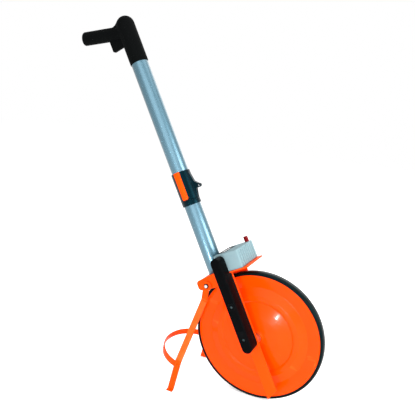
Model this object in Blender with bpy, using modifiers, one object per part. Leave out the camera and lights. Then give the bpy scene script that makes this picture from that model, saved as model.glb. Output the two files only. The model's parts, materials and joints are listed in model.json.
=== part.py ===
"""Measuring wheel: a disc wheel in a fork, with a belt-driven counter, a folding pole, a brake
handle and a stand.

Lengths are in metres. Most pieces are placed in the frame of the leaning pole, whose origin is
the wheel's centre: X runs forward, square to the pole, Y runs across, and Z runs up the pole.
The near side is at negative Y and the far side at positive Y.
"""

import math

import bmesh
import bpy
from mathutils import Matrix, Vector

# Driving dimensions
wheel_circumference = 1.000
lean_angle = math.radians(28.5)
pole_radius = 0.021
pole_wall = 0.0015
pole_setback = 0.0449
fork_half_gap = 0.0414
sheet_thickness = 0.003
running_gap = 0.0003
cut_overrun = 0.002
smooth_angle = math.radians(40)
seam_reach = 0.00005
cap_reach = 0.000001
sides = (("near", -1), ("far", 1))

# Wheel
wheel_radius = wheel_circumference / math.tau
tyre_width = 0.0226
tyre_height = 0.0078
tyre_crown_width = 0.013
tyre_edge_drop = 0.0028
rim_width = 0.022
disc_thickness = 0.0012
disc_groove_radius = 0.122
disc_groove_face = 0.006
disc_ridge_radius = 0.095
disc_ridge_face = 0.012
disc_step_radius = 0.086
disc_step_face = 0.0108
disc_dome_face = 0.0195
rim_corner = 0.003
wheel_steps = 40
hub_flange_radius = 0.022
hub_neck_radius = 0.012

# Axle, bearings and belt drive
axle_radius = 0.006
axle_end_radius = 0.004
bearing_radius = 0.011
bearing_width = 0.006
axle_nut_across = 0.013
axle_nut_height = 0.006
axle_thread_length = 0.002
pulley_radius = 0.0075
pulley_flange_radius = 0.0092
pulley_flange_width = 0.001
belt_thickness = 0.0012
belt_width = 0.005
belt_plane = 0.064
housing_width = 0.0245
housing_top = 0.2164
housing_depth = 0.0302
housing_wall = 0.002
housing_edge = 0.0015
housing_screw_rise = 0.0208
housing_upper_screw_rise = 0.100
housing_boss_radius = 0.0032
housing_boss_length = 0.014
screw_shank_radius = 0.0013
screw_head_radius = 0.003
screw_head_height = 0.0016
screw_length = 0.022

# Fork plates and carrier plate
fork_bar_width = 0.0285
pointer_reach = 0.141
pointer_chamfer = 0.017
far_bar_reach = 0.030
fork_top = 0.1719
ear_front = 0.0245
ear_front_rise = 0.0095
ear_reach = 0.0240
ear_head = 0.0172
ear_drop = 0.0075
ear_corner = 0.0085
ear_low_edge = 0.1455
ear_neck = 0.030
carrier_front = 0.0605
carrier_rear = 0.0205
carrier_half_width = 0.054

# Counter
case_front = 0.048
case_rear = 0.014
case_half_width = 0.0523
case_height = 0.0434
case_wall = 0.002
rib_count = 9
rib_depth = 0.0008
rib_width = 0.0022
window_length = 0.016
window_half_width = 0.031
window_thickness = 0.0015
counter_shaft_radius = 0.003
drum_clearance = 0.0005
drum_width = 0.0102
drum_pitch = 0.0112
drum_names = ("tenths", "ones", "tens", "hundreds", "thousands")
knob_radius = 0.0055
knob_height = 0.0136
knob_setback = 0.0095
knob_inset = 0.0085
knob_travel = 0.005
knob_flange_radius = 0.0062
knob_flange_height = 0.002
knob_stem_radius = 0.0025
knob_stem_length = 0.016

# Pole, socket and folding joint
pole_foot = 0.176
split_rise = 0.3635
lower_collar_length = 0.0128
collar_radius = 0.0238
collar_steps = 40
collar_seat_depth = 0.0062
collar_plug_length = 0.022
upper_collar_length = 0.0717
upper_seat_depth = 0.0130
socket_height = 0.0117
socket_plug_length = 0.030
socket_half_length = 0.021
knuckle_reach = 0.0370
knuckle_rise = 0.0257
knuckle_radius = 0.0048
lug_radius = 0.0040
hinge_pin_radius = 0.0015
lug_half_width = 0.0018
ear_half_width = 0.005
ear_inset = 0.0088
lug_inset = 0.0093
lug_reach = 0.0182
flare_shoulder_rise = 0.014

# Latch
button_width = 0.016
button_proud = 0.0006
button_foot_gap = 0.0024
button_thin = 0.0026
button_thick = 0.0075
button_thin_rise = 0.0545
button_pin_radius = 0.0007
button_pin_drop = 0.0200
button_pin_depth = 0.0043
tongue_width = 0.009
tongue_length = 0.0065
tongue_thickness = 0.0022
tongue_inset = 0.0024
tongue_clearance = 0.0036
latch_spring_radius = 0.0026
latch_spring_wire = 0.0005
latch_spring_length = 0.0052
latch_spring_rise = 0.020
latch_press_angle = math.radians(2.5)
latch_pocket_depth = 0.0044

# Handle
handle_dome_rise = 0.8190
sleeve_length = 0.099
handle_radius = 0.0228
handle_steps = 28
handle_wall = 0.0035
handle_split = 0.0003
grip_tilt = math.radians(18.9)
grip_axis_drop = 0.0178
grip_length = 0.1330
grip_height = 0.0339
grip_flatten_share = 0.76
grip_corner = 0.007
pole_head_drop = 0.051
trigger_half_width = 0.0045
trigger_rear = 0.0565
trigger_front = 0.0252
trigger_foot_drop = 0.0445
trigger_head_drop = 0.0135
trigger_corner = 0.005
trigger_pivot_setback = 0.0121
trigger_pivot_drop = 0.022
trigger_pin_radius = 0.001
trigger_nose_radius = 0.003
trigger_nose_drop = 0.004
trigger_hub_radius = 0.0045
trigger_spring_wire = 0.0005
trigger_spring_length = 0.004
pin_seat_depth = 0.0006
handle_screw_reach_share = 0.80
handle_boss_radius = 0.0045

# Brake
brake_rod_radius = 0.003
brake_pad_half_length = 0.011
brake_pad_half_width = 0.009
brake_pad_top = 0.1632
brake_tyre_gap = 0.0032

# Stand
stand_pivot_setback = 0.0612
stand_pivot_rise = 0.1565
stand_angle = math.radians(231.2)
stand_bolt_radius = 0.003
stand_bolt_head_radius = 0.0042
stand_bolt_head_height = 0.0028
stand_washer_radius = 0.0062
stand_washer_height = 0.001
stand_nut_across = 0.010
stand_nut_height = 0.005
leg_width = 0.0155
leg_eye_radius = 0.009
leg_straight = 0.036
leg_knee_shift = 0.0045
leg_bend_at = 0.190
leg_spread = 0.0925
foot_length = 0.006
hoop_at = 0.2015
hoop_width = 0.015
hoop_height = 0.0765
hoop_thickness = 0.0025
hoop_steps = 28
rivet_radius = 0.002
rivet_head_radius = 0.0035
rivet_head_height = 0.0012

# Places that follow from the sizes above
rim_radius = wheel_radius - tyre_height
rim_face = rim_width / 2
fork_outer = fork_half_gap + sheet_thickness
carrier_foot = fork_top + running_gap
carrier_top = carrier_foot + sheet_thickness
case_foot = carrier_top + running_gap
case_top = case_foot + case_height
housing_end_radius = housing_width / 2
counter_rise = housing_top - housing_end_radius
housing_back_face = fork_outer + running_gap
housing_joint = case_half_width + running_gap
housing_face = housing_joint + housing_depth
drum_radius = case_rear - case_wall - drum_clearance
drum_shift = drum_pitch * (len(drum_names) - 1) / 2
stand_pivot = Vector((-stand_pivot_setback, 0, stand_pivot_rise))
knuckle = Vector((knuckle_reach - pole_setback, 0, split_rise + knuckle_rise))
handle_foot = handle_dome_rise - sleeve_length
grip_axis_rise = handle_dome_rise - grip_axis_drop
pole_head = handle_dome_rise - pole_head_drop
trigger_foot = handle_dome_rise - trigger_foot_drop
trigger_head = handle_dome_rise - trigger_head_drop
trigger_pivot_rise = handle_dome_rise - trigger_pivot_drop
trigger_pivot = Vector((-pole_setback - trigger_pivot_setback, 0, trigger_pivot_rise))
button_foot = split_rise + button_foot_gap
upper_collar_top = split_rise + upper_collar_length
button_pin_rise = upper_collar_top - button_pin_drop
button_pin_across = collar_radius - button_pin_depth
knob_place = Vector((case_front - knob_setback, case_half_width - knob_inset, 0))

# Turns that stand a shape built along Z, or in the XY plane, the way it lies on the wheel
across = (-math.pi / 2, 0, 0)
upright = (math.pi / 2, 0, 0)
forward = (0, math.pi / 2, 0)
no_turn = (0, 0, 0)


def clear_scene():
    for old in list(bpy.data.objects):
        bpy.data.objects.remove(old, do_unlink=True)


def new_collection(name):
    made = bpy.data.collections.new(name)
    bpy.context.scene.collection.children.link(made)
    return made


def new_finish(name, colour, roughness, metallic):
    made = bpy.data.materials.new(name)
    made.use_nodes = True
    shader = made.node_tree.nodes["Principled BSDF"]
    shader.inputs["Base Color"].default_value = (*colour, 1.0)
    shader.inputs["Roughness"].default_value = roughness
    shader.inputs["Metallic"].default_value = metallic
    made.diffuse_color = (*colour, 1.0)
    return made


clear_scene()
parts = new_collection("measuring_wheel")
cutters = new_collection("cutters")
finishes = {
    "orange": new_finish("orange_paint", (1.0, 0.10, 0.0), 0.3, 0.0),
    "rubber": new_finish("black_rubber", (0.01, 0.01, 0.011), 0.6, 0.0),
    "black": new_finish("black_plastic", (0.01, 0.012, 0.014), 0.4, 0.0),
    "steel": new_finish("bright_steel", (0.6, 0.62, 0.64), 0.3, 1.0),
    "pole": new_finish("anodised_pole", (0.45, 0.55, 0.6), 0.35, 1.0),
    "grey": new_finish("grey_case", (0.18, 0.28, 0.3), 0.45, 0.0),
    "clear": new_finish("clear_window", (0.7, 0.75, 0.75), 0.1, 0.0),
    "white": new_finish("white_drum", (0.85, 0.85, 0.8), 0.4, 0.0),
    "red": new_finish("red_knob", (0.25, 0.01, 0.01), 0.35, 0.0),
}


def new_empty(name, parent=None, place=(0, 0, 0), turn=no_turn):
    made = bpy.data.objects.new(name, None)
    parts.objects.link(made)
    made.parent = parent
    made.location = place
    made.rotation_euler = turn
    return made


# Frames: each moving piece hangs from an empty on its joint's axis
ground = new_empty("ground")
pole_frame = new_empty("pole_frame", ground, (0, 0, wheel_radius), (0, -lean_angle, 0))
wheel_axis = new_empty("wheel_axis", pole_frame, turn=(0, lean_angle, 0))
counter_axis = new_empty("counter_axis", pole_frame, (0, 0, counter_rise))
fold_axis = new_empty("fold_axis", pole_frame, knuckle)
stand_axis = new_empty("stand_axis", pole_frame, stand_pivot)
leg_turn = -(math.pi / 2 + stand_angle)
stand_frame = new_empty("stand_frame", stand_axis, turn=(0, leg_turn, 0))
trigger_axis = new_empty("trigger_axis", fold_axis, trigger_pivot - knuckle)
frame_places = {
    pole_frame: Vector((0, 0, 0)),
    counter_axis: Vector((0, 0, counter_rise)),
    fold_axis: knuckle,
    stand_axis: stand_pivot,
    trigger_axis: trigger_pivot,
}


def put(made, parent, place, turn):
    """Hang an object from a frame. A place is given in the pole's frame, or in the frame's own."""
    made.parent = parent
    made.location = Vector(place) - frame_places.get(parent, Vector((0, 0, 0)))
    made.rotation_euler = turn


def add_mesh(name, mesh, finish, parent, place=(0, 0, 0), turn=no_turn):
    made = bpy.data.objects.new(name, mesh)
    parts.objects.link(made)
    put(made, parent, place, turn)
    mesh.materials.clear()
    mesh.materials.append(finishes[finish])
    mesh.shade_smooth()
    mesh.set_sharp_from_angle(angle=smooth_angle)
    return made


def bmesh_object(name, build, finish, parent, place, turn):
    mesh = bpy.data.meshes.new(name)
    shape = bmesh.new()
    build(shape)
    shape.to_mesh(mesh)
    shape.free()
    return add_mesh(name, mesh, finish, parent, place, turn)


def add_box(name, size, finish, parent, place=(0, 0, 0), turn=no_turn):
    def build(shape):
        bmesh.ops.create_cube(shape, size=1)
        bmesh.ops.scale(shape, vec=size, verts=shape.verts)
    return bmesh_object(name, build, finish, parent, place, turn)


def add_cylinder(name, radius, length, finish, parent, place=(0, 0, 0), turn=across, facets=24):
    def build(shape):
        bmesh.ops.create_cone(shape, cap_ends=True, segments=facets, radius1=radius,
                              radius2=radius, depth=length)
        half_facet = Matrix.Rotation(math.pi / facets, 3, "Z")
        bmesh.ops.rotate(shape, cent=(0, 0, 0), matrix=half_facet, verts=shape.verts)
    return bmesh_object(name, build, finish, parent, place, turn)


def add_turned(name, profile, finish, parent, place=(0, 0, 0), turn=across, steps=32, closed=True,
               wall=0):
    """Turn a profile of (radius, height) points, listed down its outer side, about local Z."""
    mesh = bpy.data.meshes.new(name)
    points = [(radius, 0, height) for radius, height in profile]
    edges = [(i, i + 1) for i in range(len(points) - 1)]
    if closed:
        edges.append((len(points) - 1, 0))
    mesh.from_pydata(points, edges, [])
    made = add_mesh(name, mesh, finish, parent, place, turn)
    screw = made.modifiers.new("turn", "SCREW")
    screw.axis = "Z"
    screw.angle = math.tau
    screw.steps = steps
    screw.render_steps = steps
    screw.use_merge_vertices = True
    screw.merge_threshold = seam_reach
    if wall:
        shell = made.modifiers.new("wall", "SOLIDIFY")
        shell.thickness = wall
        shell.offset = -1
    return made


def ring_profile(outer, inner, top, foot):
    return [(outer, top), (outer, foot), (inner, foot), (inner, top)]


def curve_to_mesh(curve_object, name, finish, parent, place, turn):
    bpy.context.view_layer.update()
    graph = bpy.context.evaluated_depsgraph_get()
    mesh = bpy.data.meshes.new_from_object(curve_object.evaluated_get(graph))
    shape = bmesh.new()
    shape.from_mesh(mesh)
    bmesh.ops.remove_doubles(shape, verts=shape.verts, dist=cap_reach)
    bmesh.ops.recalc_face_normals(shape, faces=shape.faces)
    shape.to_mesh(mesh)
    shape.free()
    mesh.name = name
    curve = curve_object.data
    bpy.data.objects.remove(curve_object, do_unlink=True)
    bpy.data.curves.remove(curve)
    return add_mesh(name, mesh, finish, parent, place, turn)


def add_plate(name, outline, thickness, finish, parent, place=(0, 0, 0), turn=upright):
    """Cut a flat outline of (x, y) points out of sheet. Upright, y becomes the way up the pole."""
    curve = bpy.data.curves.new(name + "_outline", "CURVE")
    curve.dimensions = "2D"
    curve.fill_mode = "BOTH"
    curve.extrude = thickness / 2
    spline = curve.splines.new("POLY")
    spline.points.add(len(outline) - 1)
    for point, (x, y) in zip(spline.points, outline):
        point.co = (x, y, 0, 1)
    spline.use_cyclic_u = True
    made = bpy.data.objects.new(name + "_outline", curve)
    parts.objects.link(made)
    return curve_to_mesh(made, name, finish, parent, place, turn)


def add_wire(name, route, radius, finish, parent, place=(0, 0, 0), turn=no_turn, fineness=1):
    curve = bpy.data.curves.new(name + "_route", "CURVE")
    curve.dimensions = "3D"
    curve.bevel_depth = radius
    curve.bevel_resolution = fineness
    curve.use_fill_caps = True
    spline = curve.splines.new("POLY")
    spline.points.add(len(route) - 1)
    for point, spot in zip(spline.points, route):
        point.co = (*spot, 1)
    made = bpy.data.objects.new(name + "_route", curve)
    parts.objects.link(made)
    return curve_to_mesh(made, name, finish, parent, place, turn)


def arc(centre, radius, start, end, steps):
    """Points on an arc in a plane, with its angles in degrees."""
    turns = [math.radians(start + (end - start) * i / steps) for i in range(steps + 1)]
    return [(centre[0] + radius * math.cos(a), centre[1] + radius * math.sin(a)) for a in turns]


def coil(radius, height, turns, steps=10):
    points = []
    for i in range(turns * steps + 1):
        angle = math.tau * i / steps
        rise = height * i / (turns * steps)
        points.append((radius * math.cos(angle), radius * math.sin(angle), rise))
    return points


def as_tool(tool):
    """Keep a shape as a Boolean's operand: it is drawn as wires and isn't a piece."""
    parts.objects.unlink(tool)
    cutters.objects.link(tool)
    tool.hide_render = True
    tool.display_type = "WIRE"
    return tool


def boolean(made, operation, tools):
    for tool in tools:
        change = made.modifiers.new(tool.name, "BOOLEAN")
        change.operation = operation
        change.object = as_tool(tool)
    return made


def cut(made, *tools):
    return boolean(made, "DIFFERENCE", tools)


def unite(made, *tools):
    return boolean(made, "UNION", tools)


def soften(made, width, segments=2):
    bevel = made.modifiers.new("soft_edges", "BEVEL")
    bevel.width = width
    bevel.segments = segments
    bevel.limit_method = "ANGLE"
    return made


# The wheel

def disc_profile(side):
    """The pressed disc's outer skin, from the rim's middle out over the edge and in to the hub."""
    face = [
        (rim_radius, running_gap / 2),
        (rim_radius, rim_face - rim_corner / 2),
        (rim_radius - rim_corner / 2, rim_face),
        (disc_groove_radius + rim_corner, disc_groove_face + disc_thickness),
        (disc_groove_radius, disc_groove_face),
        (disc_ridge_radius + rim_corner, disc_ridge_face - disc_thickness),
        (disc_ridge_radius - rim_corner, disc_ridge_face),
        (disc_step_radius, disc_step_face),
    ]
    dome_steps = 4
    for i in range(1, dome_steps + 1):
        share = i / dome_steps
        radius = disc_step_radius + (hub_flange_radius - disc_step_radius) * share
        rise = (disc_dome_face - disc_step_face) * math.sin(share * math.pi / 2)
        face.append((radius, disc_step_face + rise))
    face.append((hub_neck_radius + running_gap, disc_dome_face))
    if side < 0:
        return [(radius, -height) for radius, height in face]
    return list(reversed(face))


def make_wheel():
    half = tyre_width / 2
    crown = tyre_crown_width / 2
    seat = rim_radius + running_gap
    tyre = [
        (seat, half), (wheel_radius - tyre_edge_drop, half), (wheel_radius, crown),
        (wheel_radius, -crown), (wheel_radius - tyre_edge_drop, -half), (seat, -half),
    ]
    add_turned("tyre", tyre, "rubber", wheel_axis, steps=wheel_steps * 2)
    for name, side in sides:
        add_turned("wheel_disc_" + name, disc_profile(side), "orange", wheel_axis,
                   steps=wheel_steps, closed=False, wall=disc_thickness)
    seat_face = disc_dome_face - disc_thickness - running_gap
    neck_end = fork_outer - bearing_width - running_gap
    bore = axle_radius + running_gap
    hub = [
        (bore, neck_end), (hub_neck_radius, neck_end), (hub_neck_radius, seat_face),
        (hub_flange_radius, seat_face), (hub_flange_radius, -seat_face),
        (hub_neck_radius, -seat_face), (hub_neck_radius, -neck_end), (bore, -neck_end),
    ]
    add_turned("hub", hub, "steel", wheel_axis, steps=20)


def make_axle():
    thread_end = fork_outer + axle_nut_height + axle_thread_length + running_gap
    pulley_end = belt_plane + belt_width / 2 + pulley_flange_width * 2
    axle = [
        (0, thread_end), (axle_radius, thread_end), (axle_radius, -fork_outer - sheet_thickness),
        (axle_end_radius, -fork_outer - sheet_thickness), (axle_end_radius, -pulley_end),
        (0, -pulley_end),
    ]
    add_turned("axle", axle, "steel", wheel_axis, steps=24, closed=False)
    nut = add_cylinder("axle_nut", axle_nut_across / math.sqrt(3), axle_nut_height, "steel",
                       wheel_axis, (0, fork_outer + running_gap + axle_nut_height / 2, 0), facets=6)
    hole = add_cylinder("axle_nut_hole", axle_radius + running_gap, axle_nut_height * 2, "steel",
                        wheel_axis, (0, fork_outer + axle_nut_height / 2, 0))
    cut(nut, hole)
    add_pulley("axle_pulley", axle_end_radius, wheel_axis, (0, -belt_plane, 0))
    for name, side in sides:
        place = (0, side * (fork_outer - bearing_width / 2), 0)
        ring = ring_profile(bearing_radius, axle_radius + running_gap, bearing_width / 2,
                            -bearing_width / 2)
        add_turned("bearing_" + name, ring, "steel", pole_frame, place, steps=16)


def add_pulley(name, shaft_radius, parent, place):
    """A flat-belt pulley with a flange on each side and a bore for its shaft."""
    half = belt_width / 2 + running_gap
    end = half + pulley_flange_width
    bore = shaft_radius + running_gap
    profile = [
        (bore, end), (pulley_flange_radius, end), (pulley_flange_radius, half),
        (pulley_radius, half), (pulley_radius, -half), (pulley_flange_radius, -half),
        (pulley_flange_radius, -end), (bore, -end),
    ]
    add_turned(name, profile, "black", parent, place, steps=16)


# The fork, which carries the axle, the counter and the pole

def stadium(radius, foot, top, steps=10):
    """An upright outline with a round end about each of two heights."""
    return arc((0, top), radius, 0, 180, steps) + arc((0, foot), radius, 180, 360, steps)


def fork_outline(foot):
    """One side of the fork: a bar past the hub, and an ear behind for the stand's pivot."""
    half = fork_bar_width / 2
    ear_top = fork_top + ear_front_rise
    rear = -stand_pivot_setback - ear_reach + ear_corner
    upper = (rear, stand_pivot_rise + ear_head - ear_corner)
    lower = (rear, stand_pivot_rise - ear_drop + ear_corner)
    return foot + [
        (half, fork_top), (-ear_front + running_gap, fork_top), (-ear_front, ear_top),
        *arc(upper, ear_corner, 100, 180, 4), *arc(lower, ear_corner, 180, 255, 4),
        (-ear_neck, ear_low_edge), (-half, ear_low_edge - half),
    ]


def make_fork():
    half = fork_bar_width / 2
    pointer = [(-half, -pointer_reach), (half, -pointer_reach + pointer_chamfer)]
    round_end = arc((0, -far_bar_reach + half), half, 180, 360, 8)
    for name, side, foot in (("near", -1, pointer), ("far", 1, round_end)):
        middle = side * (fork_half_gap + sheet_thickness / 2)
        plate = add_plate("fork_plate_" + name, fork_outline(foot), sheet_thickness, "orange",
                          pole_frame, (0, middle, 0))
        bearing_hole = add_cylinder("bearing_hole_" + name, bearing_radius + running_gap,
                                    sheet_thickness * 2, "steel", pole_frame, (0, middle, 0))
        bolt_hole = add_cylinder("bolt_hole_" + name, stand_bolt_radius + running_gap,
                                 sheet_thickness * 2, "steel", pole_frame,
                                 stand_pivot + Vector((0, middle, 0)))
        cut(plate, bearing_hole, bolt_hole)
    length = carrier_front + carrier_rear
    plate = add_box("carrier_plate", (length, carrier_half_width * 2, sheet_thickness), "orange",
                    pole_frame, ((carrier_front - carrier_rear) / 2, 0,
                                 carrier_foot + sheet_thickness / 2))
    notch_depth = carrier_half_width - fork_outer
    notch = add_box("housing_notch", (housing_width + running_gap * 2, notch_depth * 2,
                                      sheet_thickness * 2), "orange", pole_frame,
                    (0, -carrier_half_width, carrier_foot + sheet_thickness / 2))
    cut(plate, notch)


def make_socket():
    """The block between the fork plates, with a plug that stands inside the pole."""
    foot = pole_foot - running_gap - socket_height
    block = add_box("pole_socket", (socket_half_length * 2, (fork_half_gap - running_gap) * 2,
                                    socket_height), "orange", pole_frame,
                    (-pole_setback, 0, foot + socket_height / 2))
    plug = add_cylinder("socket_plug", pole_radius - pole_wall - running_gap,
                        socket_plug_length + socket_height / 2, "orange", pole_frame,
                        (-pole_setback, 0, foot + (socket_plug_length + socket_height * 3 / 2) / 2),
                        no_turn)
    bore = add_cylinder("socket_bore", brake_rod_radius + running_gap, socket_plug_length * 4,
                        "orange", pole_frame, (-pole_setback, 0, pole_foot), no_turn, 16)
    unite(block, plug)
    cut(block, bore)


# The belt drive in its housing

def make_housing():
    radius = housing_end_radius
    middle = -(housing_back_face + housing_joint - running_gap) / 2
    back_depth = housing_joint - running_gap - housing_back_face
    back_top = fork_top
    outline = [(radius, back_top), (-radius, back_top)] + arc((0, 0), radius, 180, 360, 10)
    back = add_plate("housing_back", outline, back_depth, "black", pole_frame, (0, middle, 0))
    shaft_hole = add_cylinder("axle_hole_back", pulley_flange_radius, back_depth * 2, "black",
                              pole_frame, (0, middle, 0), facets=20)
    bosses = []
    pilots = []
    boss_end = housing_joint + housing_boss_length
    for rise in (housing_screw_rise, housing_upper_screw_rise):
        place = (0, -(housing_joint + boss_end) / 2 + back_depth / 4, rise)
        boss = add_cylinder(f"housing_boss_{len(bosses)}", housing_boss_radius,
                            boss_end - housing_joint + back_depth / 2, "black", pole_frame, place)
        pilot = add_cylinder(f"housing_pilot_{len(bosses)}", screw_shank_radius + running_gap,
                             housing_boss_length * 2, "black", pole_frame,
                             (0, -boss_end, rise), facets=12)
        bosses.append(boss)
        pilots.append(pilot)
    unite(back, *bosses)
    cut(back, shaft_hole, *pilots)

    cover_middle = -(housing_joint + housing_face) / 2
    cover = add_plate("housing_cover", stadium(radius, 0, counter_rise), housing_depth, "black",
                      pole_frame, (0, cover_middle, 0))
    soften(cover, housing_edge)
    hollow_depth = housing_depth - housing_wall
    hollow = add_plate("housing_hollow", stadium(radius - housing_wall, 0, counter_rise),
                       hollow_depth + cut_overrun, "black", pole_frame,
                       (0, -housing_joint - (hollow_depth - cut_overrun) / 2, 0))
    cut(cover, hollow)
    for number, rise in enumerate((housing_screw_rise, housing_upper_screw_rise)):
        make_housing_screw(cover, number, rise)


def make_housing_screw(cover, number, rise):
    """A pan-head screw through the cover's face, its head sunk by its own height."""
    head_seat = -housing_face + screw_head_height / 2
    head_hole = add_cylinder(f"screw_head_hole_{number}", screw_head_radius + running_gap,
                             screw_head_height * 2, "black", pole_frame, (0, head_seat
                             - screw_head_height, rise), facets=20)
    shank_hole = add_cylinder(f"screw_shank_hole_{number}", screw_shank_radius + running_gap,
                              housing_wall * 4, "black", pole_frame, (0, -housing_face, rise),
                              facets=12)
    cut(cover, head_hole, shank_hole)
    foot = screw_length
    screw = [
        (0, foot), (screw_shank_radius, foot), (screw_shank_radius, screw_head_height),
        (screw_head_radius, screw_head_height), (screw_head_radius, screw_head_height / 2),
        (screw_head_radius * 0.75, 0), (0, 0),
    ]
    add_turned(f"housing_screw_{number + 1}", screw, "steel", pole_frame,
               (0, -housing_face - running_gap - screw_head_height / 2, rise), steps=12,
               closed=False)


def make_belt():
    inner = pulley_radius + running_gap
    outer = inner + belt_thickness
    belt = add_plate("drive_belt", stadium(outer, 0, counter_rise), belt_width, "rubber",
                     pole_frame, (0, -belt_plane, 0))
    middle = add_plate("belt_inside", stadium(inner, 0, counter_rise), belt_width * 2, "rubber",
                       pole_frame, (0, -belt_plane, 0))
    cut(belt, middle)


# The counter

def make_case():
    length = case_front + case_rear
    centre = ((case_front - case_rear) / 2, 0, case_foot + case_height / 2)
    case = add_box("counter_case", (length, case_half_width * 2, case_height), "grey", pole_frame,
                   centre)
    pitch = case_half_width * 2 / rib_count
    ribs = []
    for i in range(1, rib_count):
        y = -case_half_width + pitch * i
        ribs.append(add_box(f"case_rib_{i}", (rib_depth * 2, rib_width, case_height - rib_width),
                            "grey", pole_frame, (case_front, y, centre[2])))
    hollow = add_box("case_hollow", (length - case_wall * 2, (case_half_width - case_wall) * 2,
                                     case_height), "grey", pole_frame,
                     (centre[0], 0, centre[2] - case_wall))
    window_cut = add_box("window_cut", (window_length + running_gap * 2,
                                        (window_half_width + running_gap) * 2, case_wall * 3),
                         "grey", pole_frame, (0, 0, case_top))
    shaft_hole = add_cylinder("shaft_hole", counter_shaft_radius + running_gap,
                              case_half_width * 3, "grey", pole_frame, (0, 0, counter_rise))
    knob_hole = add_cylinder("knob_hole", knob_radius + running_gap, case_wall * 3, "grey",
                             pole_frame, knob_place + Vector((0, 0, case_top)), no_turn)
    unite(case, *ribs)
    cut(case, hollow, window_cut, shaft_hole, knob_hole)
    add_box("counter_window", (window_length, window_half_width * 2, window_thickness), "clear",
            pole_frame, (0, 0, case_top - window_thickness / 2))


def make_drums():
    far_end = case_half_width - running_gap
    near_end = belt_plane + belt_width / 2 + pulley_flange_width * 2
    place = (0, (far_end - near_end) / 2, counter_rise)
    add_cylinder("counter_shaft", counter_shaft_radius, far_end + near_end, "steel", counter_axis,
                 place)
    add_pulley("counter_pulley", counter_shaft_radius, counter_axis, (0, -belt_plane, counter_rise))
    half = drum_width / 2
    bore = counter_shaft_radius + running_gap
    for i, name in enumerate(drum_names):
        ring = ring_profile(drum_radius, bore, half, -half)
        add_turned("digit_drum_" + name, ring, "white", counter_axis,
                   (0, -drum_shift + drum_pitch * i, counter_rise), steps=20)


def make_knob():
    top = case_top + knob_height
    flange_top = case_top - case_wall - running_gap
    flange_foot = flange_top - knob_flange_height
    stem_foot = flange_foot - knob_stem_length
    knob = [
        (0, top), (knob_radius - screw_head_height / 2, top),
        (knob_radius, top - screw_head_height / 2), (knob_radius, flange_top),
        (knob_flange_radius, flange_top), (knob_flange_radius, flange_foot),
        (knob_stem_radius, flange_foot), (knob_stem_radius, stem_foot), (0, stem_foot),
    ]
    reset_axis = new_empty("reset_axis", pole_frame, knob_place + Vector((0, 0, case_top)))
    frame_places[reset_axis] = knob_place + Vector((0, 0, case_top))
    add_turned("reset_knob", knob, "red", reset_axis, knob_place, no_turn, steps=20, closed=False)
    spring_radius = knob_stem_radius * 1.6
    spring_wire = knob_stem_radius / 5
    spring_foot = carrier_top + running_gap + spring_wire
    spring_top = flange_foot - knob_travel - running_gap - spring_wire
    add_wire("reset_spring", coil(spring_radius, spring_top - spring_foot, 5, 8), spring_wire,
             "steel", pole_frame, knob_place + Vector((0, 0, spring_foot)))


# The pole and its folding joint

def tube_profile(outer, wall, top, foot):
    return ring_profile(outer, outer - wall, top, foot)


def make_pole():
    place = (-pole_setback, 0, 0)
    lower_top = split_rise - lower_collar_length + collar_seat_depth - running_gap
    add_turned("pole_lower", tube_profile(pole_radius, pole_wall, lower_top, pole_foot), "pole",
               pole_frame, place, no_turn, steps=40)
    upper_foot = upper_collar_top - upper_seat_depth + running_gap
    add_turned("pole_upper", tube_profile(pole_radius, pole_wall, pole_head, upper_foot), "pole",
               fold_axis, place, no_turn, steps=40)


def lug_outline():
    """The lower collar's lug, up to the hinge pin, in the pole's own forward and up."""
    x, z = knuckle.x, knuckle.z
    foot = split_rise - lower_collar_length + collar_seat_depth + running_gap
    front = -pole_setback + collar_radius - running_gap * 2
    back = x - lug_reach + running_gap
    return [
        (back, foot), (front, foot), (front, split_rise), (x - lug_inset, z - knuckle_radius),
        *arc((x, z), lug_radius, -90, 120, 8), (back, z - lug_radius),
    ]


def make_lower_collar():
    place = (-pole_setback, 0, 0)
    foot = split_rise - lower_collar_length
    top = split_rise - running_gap / 2
    seat = foot + collar_seat_depth
    bore = brake_rod_radius + running_gap
    plug = pole_radius - pole_wall - running_gap
    profile = [
        (collar_radius, top), (collar_radius, foot), (pole_radius + running_gap, foot),
        (pole_radius + running_gap, seat), (plug, seat), (plug, foot - collar_plug_length),
        (bore, foot - collar_plug_length), (bore, top),
    ]
    collar = add_turned("lower_collar", profile, "black", pole_frame, place, no_turn,
                        steps=collar_steps)
    lug = add_plate("lower_lug", lug_outline(), lug_half_width * 2, "black", pole_frame)
    pin_hole = add_cylinder("lug_pin_hole", hinge_pin_radius + running_gap, lug_half_width * 4,
                            "black", pole_frame, knuckle, facets=16)
    pocket_width = tongue_width + running_gap * 2
    rear = tongue_width / 2 + tongue_clearance
    front = tongue_width / 2 + running_gap
    tongue_middle = collar_radius - tongue_inset - tongue_thickness / 2
    pocket_depth = tongue_length - button_foot_gap + running_gap * 2
    travel = (split_rise - button_pin_rise) * math.tan(-latch_press_angle)
    pocket = add_box("tongue_pocket", (rear + front, tongue_thickness + running_gap * 4 + travel,
                                       pocket_depth * 2), "black", pole_frame,
                     (-pole_setback - (rear - front) / 2, -tongue_middle + travel / 2, split_rise))
    unite(collar, lug)
    cut(collar, pin_hole, pocket)


def flare_outline():
    """The upper collar's front flare, which runs down to the hinge's ears."""
    x, z = knuckle.x, knuckle.z
    foot = split_rise + running_gap
    top = upper_collar_top - running_gap
    back = -pole_setback + collar_radius / 2
    return [
        (back, foot), (-pole_setback + collar_radius, foot), (x - ear_inset, z - knuckle_radius),
        *arc((x, z), knuckle_radius, -120, 80, 10),
        (x - ear_inset, z + flare_shoulder_rise),
        (-pole_setback + collar_radius - pole_wall, top), (back, top),
    ]


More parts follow.
